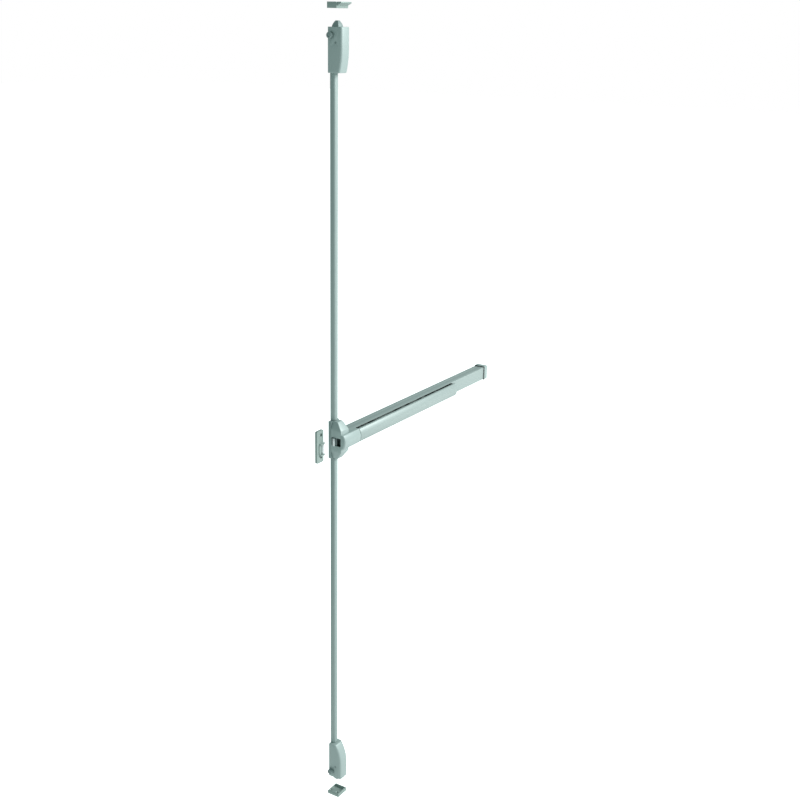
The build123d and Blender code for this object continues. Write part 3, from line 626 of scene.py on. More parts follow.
# ---------------------------------------------------------------------------- the bar
@dataclass
class TouchBar:
    """The push bar, the rail it stands in, the rail's cover, its end cap and the fixed nose."""

    crown: float = 0.006
    rows: int = 14
    edge_round: float = 0.0012
    extrusion_edge: float = 0.0002
    rail_edge: float = 0.00025
    panel_edge: float = 0.0004
    shell_wall: float = 0.002
    web_wall: float = 0.0014
    rail_wall: float = 0.0016
    step_out: float = 0.013
    step: float = 0.0006
    groove: float = 0.0009
    groove_wide: float = 0.001
    panel: float = 0.0022
    lip: float = 0.0015
    nose_round: float = 0.0055
    seat_past: float = 0.01
    cap_round: float = 0.003
    cap_lap: float = 0.0018
    cap_wall: float = 0.0015
    cap_pocket: float = 0.004
    # The black ring that paints the shade between the rail and its end cap: its width and its inset.
    painted_shade_ring: float = 0.0022
    painted_shade_inset: float = 0.0003
    fixing_radius: float = 0.00275
    drill_reach: float = 0.01
    fixing_x: float = 0.72
    fixing_z: float = 0.009

    def build(self, shop: Workshop) -> None:
        """Model and fit every piece of the bar."""
        shop.fit(self.push_bar(), Body.PUSH_BAR, Slot.EXTRUSION, "push_bar")
        shop.fit(self.nose(), Body.FRAME, Slot.CASTING, "nose_cover")
        shop.fit(self.rail(), Body.FRAME, Slot.EXTRUSION, "chassis_channel")
        shop.fit(self.rail_cover(), Body.FRAME, Slot.EXTRUSION, "far_cover")
        shop.fit(self.end_cap(), Body.FRAME, Slot.CASTING, "end_cap")
        # Painted shade: a black rubber ring stands in for the shadowed gap between the rail and its end cap.
        shop.fit(self.cap_painted_shade_ring(), Body.FRAME, Slot.RUBBER, "end_cap")

    def push_bar(self) -> Workpiece:
        """Shape the hollow push bar: a crowned front, short sides and a web across its inside.

        Returns:
            The push bar.
        """
        low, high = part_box("push_bar")
        front = low.y + self.crown
        shell = Workpiece.block("push_bar_shell", (low.x, front, low.z), high)
        raise_crown(shell, front, high.z, self.crown, self.rows)
        shell.bevel(lambda at, way: abs(way.x) > ALONG and abs(at.y - front) < NEAR
                    and abs(at.z) > high.z - NEAR, self.edge_round, 4)
        shell.open(lambda at, way: way.y > ALONG or abs(way.x) > ALONG)
        shell.wall(self.shell_wall)
        web_back = high.y - self.shell_wall
        inner = high.z - self.shell_wall
        shell.weld(Workpiece.block("push_bar_web", (low.x, web_back - self.web_wall, -inner),
                                   (high.x, web_back, inner)))
        shell.soften(self.extrusion_edge)
        return shell

    def nose(self) -> Workpiece:
        """Shape the fixed nose that carries the bar's front across the centre case.

        Returns:
            The nose.
        """
        low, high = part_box("nose_cover")
        case_low, case_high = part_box("head_cover")
        front = low.y + self.crown
        nose = Workpiece.block("bar_nose", (low.x, front, low.z), high)
        raise_crown(nose, front, high.z, self.crown, self.rows)
        nose.bevel(lambda at, way: abs(at.x - low.x) < NEAR and at.y < front + NEAR and abs(way.z) > 0.5,
                   self.nose_round, 8)
        nose.bevel(lambda at, way: abs(at.z) > high.z - NEAR and at.y < front + self.nose_round - NEAR
                   and abs(way.y) < SQUARELY and at.x < high.x - NEAR, self.edge_round, 3)
        nose.open(lambda at, way: way.y > ALONG or way.x > ALONG)
        nose.wall(self.shell_wall)
        past = self.seat_past
        nose.carve(Workpiece.block("seat", (case_low.x - past, case_low.y, low.z - past),
                                   (case_high.x, high.y + past, high.z + past)))
        nose.soften()
        return nose

    def rail(self) -> Workpiece:
        """Shape the rail: an open channel with a step and a fine groove along its top and bottom.

        Returns:
            The rail.
        """
        low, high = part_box("chassis_channel")
        rail = Workpiece.block("rail", low, high)
        rows = [(-self.step_out, self.step), (-self.step_out - self.groove_wide / 2, self.groove),
                (-self.step_out - self.groove_wide, 0)]
        for row in rows:
            rail.cut((0, row[0], 0), (0, 1, 0))
        rows.append((high.y, self.step))
        for y, drop in rows:
            for side in (-1, 1):
                rail.move(lambda at, way: abs(at.y - y) < NEAR and at.z * side > 0, (0, 0, -side * drop))
        rail.open(lambda at, way: way.y < -ALONG or abs(way.x) > ALONG)
        rail.wall(self.rail_wall)
        for side in (-1, 1):
            place = (self.fixing_x, high.y - self.drill_reach, side * self.fixing_z)
            rail.drill(Way.Y, self.fixing_radius, place, 2 * self.drill_reach)
        rail.soften(self.rail_edge)
        return rail

    def rail_cover(self) -> Workpiece:
        """Shape the flat panel that closes the rail beyond the push bar.

        Returns:
            The panel.
        """
        low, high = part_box("far_cover")
        back = low.y + self.panel
        panel = Workpiece.block("rail_cover", low, (high.x, back, high.z))
        for side in (-1, 1):
            panel.cut((0, 0, side * (high.z - self.lip)), (0, 0, 1))
        panel.extrude(lambda at, way: way.y > ALONG and abs(at.z) > high.z - self.lip, (0, high.y - back, 0))
        panel.soften(self.panel_edge, 3)
        return panel

    def end_cap(self) -> Workpiece:
        """Shape the moulded cap that laps over the rail's end.

        Returns:
            The end cap.
        """
        low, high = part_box("end_cap")
        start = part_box("chassis_channel")[1].x - self.cap_lap
        # The cap starts past the black ring that paints the shade at its rim.
        cap = Workpiece.block("rail_end_cap", (start + self.painted_shade_ring, low.y, low.z), high)
        cap.bevel(lambda at, way: at.y < high.y - NEAR and (at.x > high.x - NEAR
                  or (abs(way.x) > ALONG and at.y < low.y + NEAR)), self.cap_round, 5)
        cap.sink(lambda at, way: way.x < -ALONG, self.cap_wall, (self.cap_pocket, 0, 0))
        cap.soften()
        return cap

    def cap_painted_shade_ring(self) -> Workpiece:
        """Shape the black ring between the cap's rim and the rail, painted shade standing in for the shadowed
        gap there.

        Returns:
            The ring.
        """
        low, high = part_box("end_cap")
        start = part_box("chassis_channel")[1].x - self.cap_lap
        inset = self.painted_shade_inset
        painted_shade_ring = Workpiece.block("cap_painted_shade_ring", (start, low.y + inset, low.z + inset),
                                 (start + self.painted_shade_ring, high.y, high.z - inset))
        wall, past = self.cap_wall, self.painted_shade_ring
        painted_shade_ring.carve(Workpiece.block("bore", (start - past, low.y + wall, low.z + wall),
                                     (start + self.painted_shade_ring + past, high.y - wall, high.z - wall)))
        return painted_shade_ring


# ---------------------------------------------------------------------------- the centre case
@dataclass
class CentreCase:
    """The centre case: its tray, its faceted cover and the side latch bolt."""

    shoulder_z: float = 0.0295
    top_share: float = 10.6 / 17
    end_drop: float = 0.015
    edge_round: float = 0.0014
    wall_thick: float = 0.0016
    back_plate: float = 0.0025
    side_way_back: float = -0.004
    flange_lap: float = 0.0005
    reach: float = 0.002
    casting_edge: float = 0.00025
    window_round: float = 0.0012
    window_z: float = -0.002
    window_half: float = 0.011
    window_back: float = -0.0095
    window_front: float = -0.038
    rod_y: float = -0.00675
    rod_hole: float = 0.0043
    drill_reach: float = 0.004
    screw_y: float = -0.018
    screw_z: float = 0.0245
    screw_radius: float = 0.002
    fixing_radius: float = 0.00275
    fixing_reach: float = 0.02
    fixing_x: float = 0.009
    fixing_z: float = 0.042
    nose_back: float = -0.0116
    nose_front: float = -0.022
    nose_root: float = -0.012
    body_back: float = -0.0165
    body_lap: float = 0.0002
    bolt_edge: float = 0.0005
    slant: float = 0.0065
    slant_depth: float = 0.0052
    tip_round: float = 0.0032

    def build(self, shop: Workshop) -> None:
        """Model and fit every piece of the case."""
        shop.fit(self.cover(), Body.FRAME, Slot.CASTING, "head_cover")
        shop.fit(self.tray(), Body.FRAME, Slot.BASE, "head_back_plate")
        shop.fit(self.side_bolt(), Body.SIDE_LATCH, Slot.BRIGHT, "latch_bolt")

    def rod_drill(self, wall: float) -> Workpiece:
        """A bar the size of a rod's hole, through the case's top or bottom wall."""
        return Workpiece.bar("drill", Way.Z, self.rod_hole, (0, self.rod_y, wall - self.drill_reach),
                             2 * self.drill_reach)

    def cover(self) -> Workpiece:
        """Shape the cover: a box with sloped shoulders and facets, a window and a way in for the bar.

        Returns:
            The cover.
        """
        low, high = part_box("head_cover")
        rail_low, rail_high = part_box("chassis_channel")
        cover = Workpiece.block("centre_cover", low, high)
        for side in (-1, 1):
            cover.cut((0, 0, side * self.shoulder_z), (0, 0, 1))
        cover.resize(lambda at, way: abs(at.z) > high.z - NEAR, (self.top_share, 1, 1), (0, 0, 0))
        cover.move(lambda at, way: abs(at.z) > high.z - NEAR and at.y < low.y + NEAR, (0, self.end_drop, 0))
        cover.bevel(lambda at, way: at.y < high.y - self.reach / 2 and abs(at.z) > self.reach / 2 and
                    (abs(way.z) < SQUARELY or at.y < low.y + NEAR), self.edge_round, 3)
        cover.open(lambda at, way: way.y > ALONG)
        cover.wall(self.wall_thick)
        reach = self.reach
        through = self.wall_thick + reach
        half = self.window_half
        window = Workpiece.block("window", (low.x - reach, self.window_front, self.window_z - half),
                                 (low.x + through, self.window_back, self.window_z + half))
        window.bevel(lambda at, way: abs(way.x) > ALONG, self.window_round, 4)
        inside = self.wall_thick - rail_high.z
        entry = Workpiece.block("entry", (high.x - through, rail_low.y + self.wall_thick, inside),
                                (high.x + reach, high.y + reach, -inside))
        cover.carve(window, entry, self.rod_drill(low.z), self.rod_drill(high.z))
        for side in (-1, 1):
            place = (high.x - self.drill_reach, self.screw_y, side * self.screw_z)
            cover.drill(Way.X, self.screw_radius, place, 2 * self.drill_reach)
        cover.soften(self.casting_edge)
        return cover

    def tray(self) -> Workpiece:
        """Shape the tray behind the cover, with flanges that close its four corners.

        Returns:
            The tray.
        """
        low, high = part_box("head_back_plate")
        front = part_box("head_cover")[1].y
        inner_x = high.x - self.wall_thick
        inner_z = high.z - self.wall_thick
        tray = Workpiece.block("centre_tray", (low.x, front, low.z), high)
        tray.bevel(lambda at, way: abs(way.y) > ALONG, self.wall_thick / 2, 3)
        tray.sink(lambda at, way: way.y < -ALONG, self.wall_thick, (0, -front - self.back_plate, 0))
        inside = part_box("chassis_channel")[1].z - self.wall_thick
        side_way = Workpiece.block("way", (0, front - self.reach, -inside),
                                   (high.x + self.reach, self.side_way_back, inside))
        tray.carve(side_way, self.rod_drill(low.z), self.rod_drill(high.z))
        top_half = high.x * self.top_share - self.wall_thick
        slope = Vector((inner_z - self.shoulder_z, 0, inner_x - top_half)).normalized()
        corner = Workpiece.block("corner", (top_half, front, self.shoulder_z),
                                 (inner_x + self.flange_lap, front + self.wall_thick,
                                  inner_z + self.flange_lap))
        corner.cut((inner_x, 0, self.shoulder_z), slope, clear_inner=True, use_fill=True)
        turns = [Matrix.Diagonal((x, 1, z, 1)) for x in (-1, 1) for z in (-1, 1)]
        tray.weld(*[corner.copied("corner", turn) for turn in turns])
        corner.discard()
        for x in (-self.fixing_x, self.fixing_x):
            for z in (-self.fixing_z, self.fixing_z):
                tray.drill(Way.Y, self.fixing_radius, (x, front - self.reach, z), self.fixing_reach)
        tray.soften(self.casting_edge)
        return tray

    def side_bolt(self) -> Workpiece:
        """Shape the side latch bolt: a slanted nose with a full round front, and the body behind.

        Returns:
            The bolt.
        """
        low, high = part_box("latch_bolt")
        bolt = Workpiece.block("side_latch_bolt", (low.x, self.nose_front, low.z),
                               (self.nose_root, self.nose_back, high.z))
        bolt.cut((low.x + self.slant, 0, 0), (1, 0, 0))
        bolt.move(lambda at, way: at.x < low.x + NEAR and at.y > self.nose_back - NEAR,
                  (0, -self.slant_depth, 0))
        bolt.bevel(lambda at, way: at.x < low.x + NEAR and abs(way.z) > ALONG, self.tip_round, 7)
        bolt.weld(Workpiece.block("body", (self.nose_root - self.body_lap, low.y, low.z),
                                  (high.x, self.body_back, high.z)))
        bolt.soften(self.bolt_edge, 3)
        return bolt


# ---------------------------------------------------------------------------- rods
@dataclass
class RodCovers:
    """The rolled covers over the two vertical rods."""

    corner_round: float = 0.006
    sheet: float = 0.0012
    lip: float = 0.002
    edge: float = 0.0002

    def build(self, shop: Workshop) -> None:
        """Model and fit both covers."""
        for end in ("top", "bottom"):
            shop.fit(self.cover(f"{end}_rod_cover"), Body.FRAME, Slot.ROD_COVER, f"{end}_rod_cover")

    def cover(self, node: str) -> Workpiece:
        """Shape one cover: a rounded channel with its two back edges turned in.

        Args:
            node: The CAD node that it replaces.

        Returns:
            The cover.
        """
        low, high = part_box(node)
        cover = Workpiece.block(f"{node}_sheet", low, high)
        cover.bevel(lambda at, way: abs(way.z) > ALONG and at.y < low.y + NEAR, self.corner_round, 7)
        cover.open(lambda at, way: way.y > ALONG or abs(way.z) > ALONG)
        for side in (-1, 1):
            with cover.picked(Pick.EDGE, lambda at, way: at.y > high.y - NEAR and at.x * side > 0
                              and abs(way.z) > ALONG):
                bpy.ops.mesh.extrude_region_move(TRANSFORM_OT_translate={"value": (-side * self.lip, 0, 0)})
        cover.wall(self.sheet)
        cover.soften(self.edge)
        return cover


# ---------------------------------------------------------------------------- end latches
@dataclass
class EndLatch:
    """The latch at the end of a rod: its case, its bolt, its trip button and its case screws."""

    end: str
    side: int
    rod_body: Body
    button_body: Body
    wall_thick: float = 0.0016
    end_depth: float = 0.032
    curve_length: float = 0.055
    curve_rows: int = 9
    front_round: float = 0.0065
    edge_round: float = 0.0012
    gap: float = 0.0003
    reach: float = 0.002
    entry_reach: float = 0.005
    casting_edge: float = 0.00025
    rod_y: float = -0.00675
    rod_hole: float = 0.0043
    screw_y: float = -0.0215
    screw_from_start: float = 0.068
    screw_radius: float = 0.0026
    screw_head: float = 0.0023
    screw_round: float = 0.0007
    screw_shank: float = 0.0015
    screw_reach: float = 0.004
    screw_lap: float = 0.0005
    cross: tuple[float, float] = (0.0015, 0.0004)
    cross_depth: float = 0.0012
    nose_length: float = 0.0125
    bolt_round: float = 0.002
    bolt_edge: float = 0.0004
    bolt_taper: float = 1.5
    tip_x: float = 0.36
    tip_y: float = 0.36
    button_round: float = 0.0026
    dish: float = 0.0034
    dish_depth: float = 0.001

    def build(self, shop: Workshop) -> None:
        """Model and fit every piece of the latch."""
        end = self.end
        shop.fit(self.case(), Body.FRAME, Slot.CASTING, f"{end}_latch_case")
        shop.fit(self.bolt(), self.rod_body, Slot.DARK, f"{end}_bolt")
        shop.fit(self.button(), self.button_body, Slot.DARK, f"{end}_trip_button")
        shop.fit(self.screws(), Body.FRAME, Slot.DARK, f"{end}_case_screws")

    def ends(self, node: str) -> tuple[Vector, Vector, float, float]:
        """A node's corners, and Z of its end by the rod and of its far end."""
        low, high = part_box(node)
        if self.side > 0:
            return low, high, low.z, high.z
        return low, high, high.z, low.z

    def case(self) -> Workpiece:
        """Shape the case: a rounded box whose front curves back towards the rod.

        Returns:
            The case.
        """
        low, high, start, far = self.ends(f"{self.end}_latch_case")
        case = Workpiece.block(f"{self.end}_case_shell", low, high)
        steps = [self.curve_length * row / self.curve_rows for row in range(self.curve_rows)]
        for step in steps[1:] + [self.curve_length]:
            case.cut((0, 0, start + self.side * step), (0, 0, 1))
        drop = -low.y - self.end_depth
        for step in steps:
            z = start + self.side * step
            back = drop * (1 - step / self.curve_length) ** 2
            case.move(lambda at, way: abs(at.z - z) < NEAR and at.y < low.y + NEAR, (0, back, 0))
        case.bevel(lambda at, way: abs(at.x) > high.x - NEAR and at.y < -self.end_depth + self.reach
                   and abs(way.z) > 0.5, self.front_round, 7)
        for end in (far, start):
            case.bevel(lambda at, way: abs(at.z - end) < NEAR and at.y < high.y - NEAR, self.edge_round, 3)
        case.open(lambda at, way: way.y > ALONG and at.y > -NEAR)
        case.wall(self.wall_thick)
        bolt_low, bolt_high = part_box(f"{self.end}_bolt")
        gap = Vector((self.gap, self.gap, 0))
        mouth_low, mouth_high = bolt_low - gap, bolt_high + gap
        mouth_low.z, mouth_high.z = far - 2 * self.reach, far + 2 * self.reach
        mouth = Workpiece.block("mouth", mouth_low, mouth_high)
        mouth.bevel(lambda at, way: abs(way.z) > ALONG, self.bolt_round, 4)
        entry = Workpiece.bar("drill", Way.Z, self.rod_hole, (0, self.rod_y, start - self.entry_reach),
                              2 * self.entry_reach)
        case.carve(mouth, entry, self.button_drill(low.x))
        for x in (low.x - self.reach, high.x - 2 * self.reach):
            place = (x, self.screw_y, start + self.side * self.screw_from_start)
            case.drill(Way.X, self.screw_radius + self.gap / 2, place, 3 * self.reach)
        case.soften(self.casting_edge)
        return case

    def button_drill(self, left: float) -> Workpiece:
        """A bar the size of the trip button's hole, through the case's left wall."""
        low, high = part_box(f"{self.end}_trip_button")
        middle = (low + high) / 2
        radius = (high.z - low.z) / 2 + self.gap
        return Workpiece.bar("drill", Way.X, radius, (left - 2 * self.reach, middle.y, middle.z),
                             4 * self.reach, 64)

    def bolt(self) -> Workpiece:
        """Shape the bolt: a rounded bar whose end swells to a blunt bullet nose.

        Returns:
            The bolt.
        """
        low, high, start, far = self.ends(f"{self.end}_bolt")
        shoulder = far - self.side * self.nose_length
        z0, z1 = sorted((start, shoulder))
        bolt = Workpiece.block(f"{self.end}_rod_bolt", (low.x, low.y, z0), (high.x, high.y, z1))
        bolt.bevel(lambda at, way: abs(way.z) > ALONG, self.bolt_round, 5)
        middle = (low + high) / 2
        done_x = done_y = 1.0
        reached = 0.0
        for share in (0.3, 0.55, 0.75, 0.9, 1.0):
            fall = share ** self.bolt_taper
            wide_x, wide_y = 1 - (1 - self.tip_x) * fall, 1 - (1 - self.tip_y) * fall
            z = shoulder + self.side * reached
            bolt.extrude(lambda at, way: way.z * self.side > SQUARELY and abs(at.z - z) < NEAR,
                         (0, 0, self.side * (share * self.nose_length - reached)))
            reached = share * self.nose_length
            z = shoulder + self.side * reached
            bolt.resize(lambda at, way: abs(at.z - z) < NEAR, (wide_x / done_x, wide_y / done_y, 1),
                        (middle.x, middle.y, z))
            done_x, done_y = wide_x, wide_y
        bolt.soften(self.bolt_edge, 3, 28)
        return bolt

    def button(self) -> Workpiece:
        """Shape the trip button: a round knob with a full edge and a dished face.

        Returns:
            The button.
        """
        low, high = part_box(f"{self.end}_trip_button")
        middle = (low + high) / 2
        radius = (high.z - low.z) / 2
        start = (low.x, middle.y, middle.z)
        button = Workpiece.bar(f"{self.end}_button", Way.X, radius, start, high.x - low.x, 64)
        button.bevel(lambda at, way: abs(at.x - low.x) < NEAR, self.button_round, 6)
        button.sink(lambda at, way: way.x < -SQUARELY, radius - self.button_round - self.dish,
                    (self.dish_depth, 0, 0))
        button.soften(segments=3)
        return button

    def screws(self) -> Workpiece:
        """Shape the two case screws, with cross recesses in their domed heads.

        Returns:
            Both screws, as one piece.
        """
        low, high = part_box(f"{self.end}_case_screws")
        middle = (low + high) / 2
        x, y, z = low.x, middle.y, middle.z
        head, shank, lap = self.screw_head, self.screw_shank, self.screw_lap
        screw = Workpiece.bar(f"{self.end}_screw_pair", Way.X, self.screw_radius, (x, y, z), head, 40)
        screw.bevel(lambda at, way: abs(at.x - x) < NEAR, self.screw_round, 4)
        long, short = self.cross
        for wide, tall in ((short, long), (long, short)):
            screw.carve(Workpiece.block("slot", (x - self.cross_depth, y - wide, z - tall),
                                        (x + self.cross_depth, y + wide, z + tall)))
        screw.weld(Workpiece.bar("shank", Way.X, shank, (x + head - lap, y, z), self.screw_reach, 24))
        screw.weld(screw.copied("twin", Matrix.Diagonal((-1, 1, 1, 1))))
        return screw


# ---------------------------------------------------------------------------- strikes
@dataclass
class Strikes:
    """The three strikes: a block over the top bolt, a floor plate, and a roller plate beside the case."""

    screw_radius: float = 0.0022
    head_radius: float = 0.0042
    sink_depth: float = 0.0018
    sink_past: float = 0.0004
    drill_length: float = 0.03
    reach: float = 0.001
    edge: float = 0.0004
    side_screw_radius: float = 0.0026
    side_head_radius: float = 0.0046
    side_head_depth: float = 0.0045
    side_hole_depth: float = 0.01
    top_front: float = -0.029
    top_lip_in: float = -0.023
    top_lip_thick: float = 0.003
    top_lip_rise: float = 0.009
    top_lip_inset: float = 0.003
    top_hole_x: float = 0.019
    top_hole_y: float = -0.016
    pocket_gap: float = 0.0006
    pocket_depth: float = 0.009
    pocket_behind: float = 0.003
    corner_round: float = 0.0015
    block_edge: float = 0.0005
    floor_round: float = 0.002
    floor_bevel: float = 0.0018
    floor_rim: float = 0.0024
    floor_left: float = 0.0015
    floor_hole_x: float = -0.02
    floor_hole_ys: tuple[float, float] = (-0.009, -0.030)
    plate_front: float = -0.006
    plate_right: float = -0.047
    plate_round: float = 0.004
    side_hole_x: float = -0.057
    side_hole_zs: tuple[float, float] = (0.0255, -0.033)
    slot_x: float = -0.066
    slot_half: float = 0.0016
    slot_round: float = 0.0014
    ear: float = 0.004
    ear_inset: float = 0.0001
    ear_round: float = 0.0035
    roller_room: float = 0.0012
    roller_play: float = 0.0003
    roller_round: float = 0.0006
    pin_radius: float = 0.0015
    pin_play: float = 0.00005
    round_edges: float = 50

    def build(self, shop: Workshop) -> None:
        """Model and fit the three strikes, the roller and its pin."""
        shop.fit(self.top(), Body.FRAME, Slot.STRIKE, "top_strike")
        shop.fit(self.floor(), Body.FRAME, Slot.STRIKE, "bottom_strike")
        shop.fit(self.side(), Body.FRAME, Slot.STRIKE, "side_strike")
        shop.fit(self.roller(), Body.ROLLER, Slot.BRIGHT, "strike_roller")
        shop.fit(self.pin(), Body.FRAME, Slot.BRIGHT, "roller_pin")

    def sunk_hole(self, way: Way, place: Place, radius: float, head: float) -> Workpiece:
        """Shape the tool that drills and countersinks a screw hole.

        Args:
            way: The hole's axis, which points from its foot to the face with the countersink.
            place: The middle of the hole where it meets that face.
            radius: The hole's radius.
            head: The countersink's radius at the face.

        Returns:
            The tool.
        """
        face = Vector(place)
        length = self.drill_length
        tool = Workpiece.bar("drill", way, radius, face - way.value * length, length - self.sink_depth, 32)
        tip = face - way.value * self.sink_depth
        out = face + way.value * self.sink_past
        tool.extrude(lambda at, normal: normal.dot(way.value) > ALONG, out - tip)
        wide = head / radius
        tool.resize(lambda at, normal: (at - tip).dot(way.value) > NEAR, (wide, wide, wide), out)
        return tool

    def top(self) -> Workpiece:
        """Shape the top strike: a block with a pocket below and a sloped lip in front.

        Returns:
            The strike.
        """
        low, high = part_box("top_strike")
        bolt_low, bolt_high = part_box("top_bolt")
        strike = Workpiece.block("top_strike_block", (low.x, self.top_front, low.z), high)
        strike.bevel(lambda at, way: abs(way.z) > ALONG, self.corner_round, 4)
        inset = self.top_lip_inset
        lip = Workpiece.block("lip", (low.x + inset, low.y, high.z - self.top_lip_thick),
                              (high.x - inset, self.top_lip_in, high.z))
        lip.move(lambda at, way: at.z < high.z - NEAR and at.y > self.top_lip_in - NEAR,
                 (0, 0, -self.top_lip_rise))
        strike.weld(lip)
        gap = self.pocket_gap
        strike.carve(Workpiece.block("pocket", (bolt_low.x - gap, bolt_low.y - gap, low.z - self.reach),
                                     (bolt_high.x + gap, bolt_high.y + self.pocket_behind,
                                      low.z + self.pocket_depth)))
        for x in (-self.top_hole_x, self.top_hole_x):
            place = (x, self.top_hole_y, low.z - self.reach)
            strike.drill(Way.Z, self.screw_radius, place, self.drill_length)
        strike.soften(self.block_edge, 3)
        return strike

    def floor(self) -> Workpiece:
        """Shape the floor strike: a bevelled plate with a pocket and two countersunk holes.

        Returns:
            The strike.
        """
        low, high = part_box("bottom_strike")
        bolt_low, bolt_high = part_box("bottom_bolt")
        plate = Workpiece.block("floor_strike_plate", low, high)
        plate.bevel(lambda at, way: abs(way.z) > ALONG, self.floor_round, 4)
        plate.bevel(lambda at, way: at.z > high.z - NEAR, self.floor_bevel, 2)
        pocket = Workpiece.block("pocket", (bolt_low.x - self.pocket_gap, low.y + 2 * self.floor_rim,
                                            low.z + self.floor_left),
                                 (high.x - self.floor_rim, bolt_high.y + self.pocket_behind,
                                  high.z + self.reach))
        pocket.bevel(lambda at, way: abs(way.z) > ALONG, self.corner_round, 4)
        plate.carve(pocket)
        for y in self.floor_hole_ys:
            place = (self.floor_hole_x, y, high.z)
            plate.carve(self.sunk_hole(Way.Z, place, self.screw_radius, self.head_radius))
        plate.soften()
        return plate

    def side(self) -> Workpiece:
        """Shape the side strike: a rounded plate with a slot, a recess and two ears for the roller.

        Returns:
            The strike.
        """
        low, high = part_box("side_strike")
        roller_low, roller_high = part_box("strike_roller")
        middle = (roller_low + roller_high) / 2
        plate = Workpiece.block("side_strike_plate", (low.x, self.plate_front, low.z),
                                (self.plate_right, high.y, high.z))
        plate.bevel(lambda at, way: abs(way.y) > ALONG, self.plate_round, 6)
        front = self.plate_front - self.reach
        top, bottom = roller_high.z + self.roller_play, roller_low.z - self.roller_play
        recess = Workpiece.block("recess", (roller_low.x - self.roller_room, front, bottom),
                                 (self.plate_right + self.reach, self.reach, top))
        slot = Workpiece.block("slot", (self.slot_x - self.slot_half, front, roller_low.z),
                               (self.slot_x + self.slot_half, self.reach, roller_high.z))
        slot.bevel(lambda at, way: abs(way.y) > ALONG, self.slot_round, 5)
        plate.carve(recess, slot)
        for z0, z1 in ((top, roller_high.z + self.ear), (roller_low.z - self.ear, bottom)):
            ear = Workpiece.block("ear", (self.slot_x + self.slot_half, low.y, z0),
                                  (high.x, high.y - self.ear_inset, z1))
            ear.bevel(lambda at, way: abs(way.z) > ALONG and at.y < low.y + NEAR, self.ear_round, 6)
            ear.drill(Way.Z, self.pin_radius, (middle.x, middle.y, z0 - self.reach), z1 - z0 + 2 * self.reach)
            plate.weld(ear)
        for z in self.side_hole_zs:
            face = (self.side_hole_x, self.plate_front - self.reach / 2, z)
            plate.drill(Way.Y, self.side_head_radius, face, self.side_head_depth, 40)
            plate.drill(Way.Y, self.side_screw_radius, face, self.side_hole_depth)
        plate.soften(self.edge, 3)
        return plate

    def roller(self) -> Workpiece:
        """Shape the roller: a sleeve with rounded rims.

        Returns:
            The roller.
        """
        low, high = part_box("strike_roller")
        middle = (low + high) / 2
        radius = (high.x - low.x) / 2
        length = high.z - low.z
        roller = Workpiece.bar("strike_roller_sleeve", Way.Z, radius, (middle.x, middle.y, low.z), length, 64)
        foot = (middle.x, middle.y, low.z - self.reach)
        roller.drill(Way.Z, self.pin_radius + self.pin_play, foot, length + 2 * self.reach)
        roller.soften(self.roller_round, 3, self.round_edges)
        return roller

    def pin(self) -> Workpiece:
        """Shape the roller's pin, with peened ends.

        Returns:
            The pin.
        """
        low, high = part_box("roller_pin")
        middle = (low + high) / 2
        pin = Workpiece.bar("strike_roller_pin", Way.Z, (high.x - low.x) / 2, (middle.x, middle.y, low.z),
                            high.z - low.z, 40)
        pin.soften(self.block_edge, 4, self.round_edges)
        return pin


# ---------------------------------------------------------------------------- springs
@dataclass
class Springs:
    """The coil springs behind the push bar and the side latch bolt."""

    return_wire: float = 0.001
    return_radius: float = 0.0042
    return_turns: int = 9
    press: float = 0.0071
    latch_wire: float = 0.0009
    latch_turns: int = 6
    latch_pull: float = 0.0119

    def build(self, shop: Workshop) -> None:
        """Model and fit the springs."""
        shop.fit(self.returns(), Body.FRAME, Slot.SPRING, "return_springs")
        shop.fit(self.latch(), Body.FRAME, Slot.SPRING, "latch_spring")
        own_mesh(bpy.data.objects["return_spring_set"])
        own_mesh(bpy.data.objects["latch_bolt_spring"])

    def returns(self) -> Workpiece:
        """Wind the four springs between the rail and the push bar.

        Returns:
            The springs, as one piece.
        """
        low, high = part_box("return_springs")
        outer = self.return_radius + self.return_wire / 2
        coil = Workpiece.coil("spring", self.return_radius, self.return_wire, high.y - low.y,
                              self.return_turns)
        coil.object.data.transform(Matrix.Rotation(math.pi / 2, 4, "X"))
        places = [Vector((x, high.y, z)) for x in (low.x + outer, high.x - outer)
                  for z in (low.z + outer, high.z - outer)]
        springs = [coil.copied("return_spring_set", Matrix.Translation(place)) for place in places]
        coil.discard()
        springs[0].focus()
        for spring in springs:
            spring.object.select_set(True)
        bpy.ops.object.join()
        return springs[0]

    def latch(self) -> Workpiece:
        """Wind the spring behind the side latch bolt.

        Returns:
            The spring.
        """
        low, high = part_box("latch_spring")
        radius = (high.z - low.z - self.latch_wire) / 2
        spring = Workpiece.coil("latch_bolt_spring", radius, self.latch_wire, high.x - low.x,
                                self.latch_turns)
        middle = (low + high) / 2
        place = Matrix.Translation((low.x, middle.y, middle.z))
        spring.object.data.transform(place @ Matrix.Rotation(math.pi / 2, 4, "Y"))
        return spring


# ---------------------------------------------------------------------------- studio
@dataclass
class Softbox:
    """A square area light aimed at a point."""

    name: str
    place: tuple[float, float, float]
    aim: tuple[float, float, float]
    size: float
    power: float

    def build(self) -> None:
        """Add the light."""
        bpy.ops.object.light_add(type="AREA", location=self.place)
        light = bpy.context.object
        light.name = self.name
        light.data.size = self.size
        light.data.energy = self.power
        light.rotation_euler = (Vector(self.aim) - Vector(self.place)).to_track_quat("-Z", "Y").to_euler()


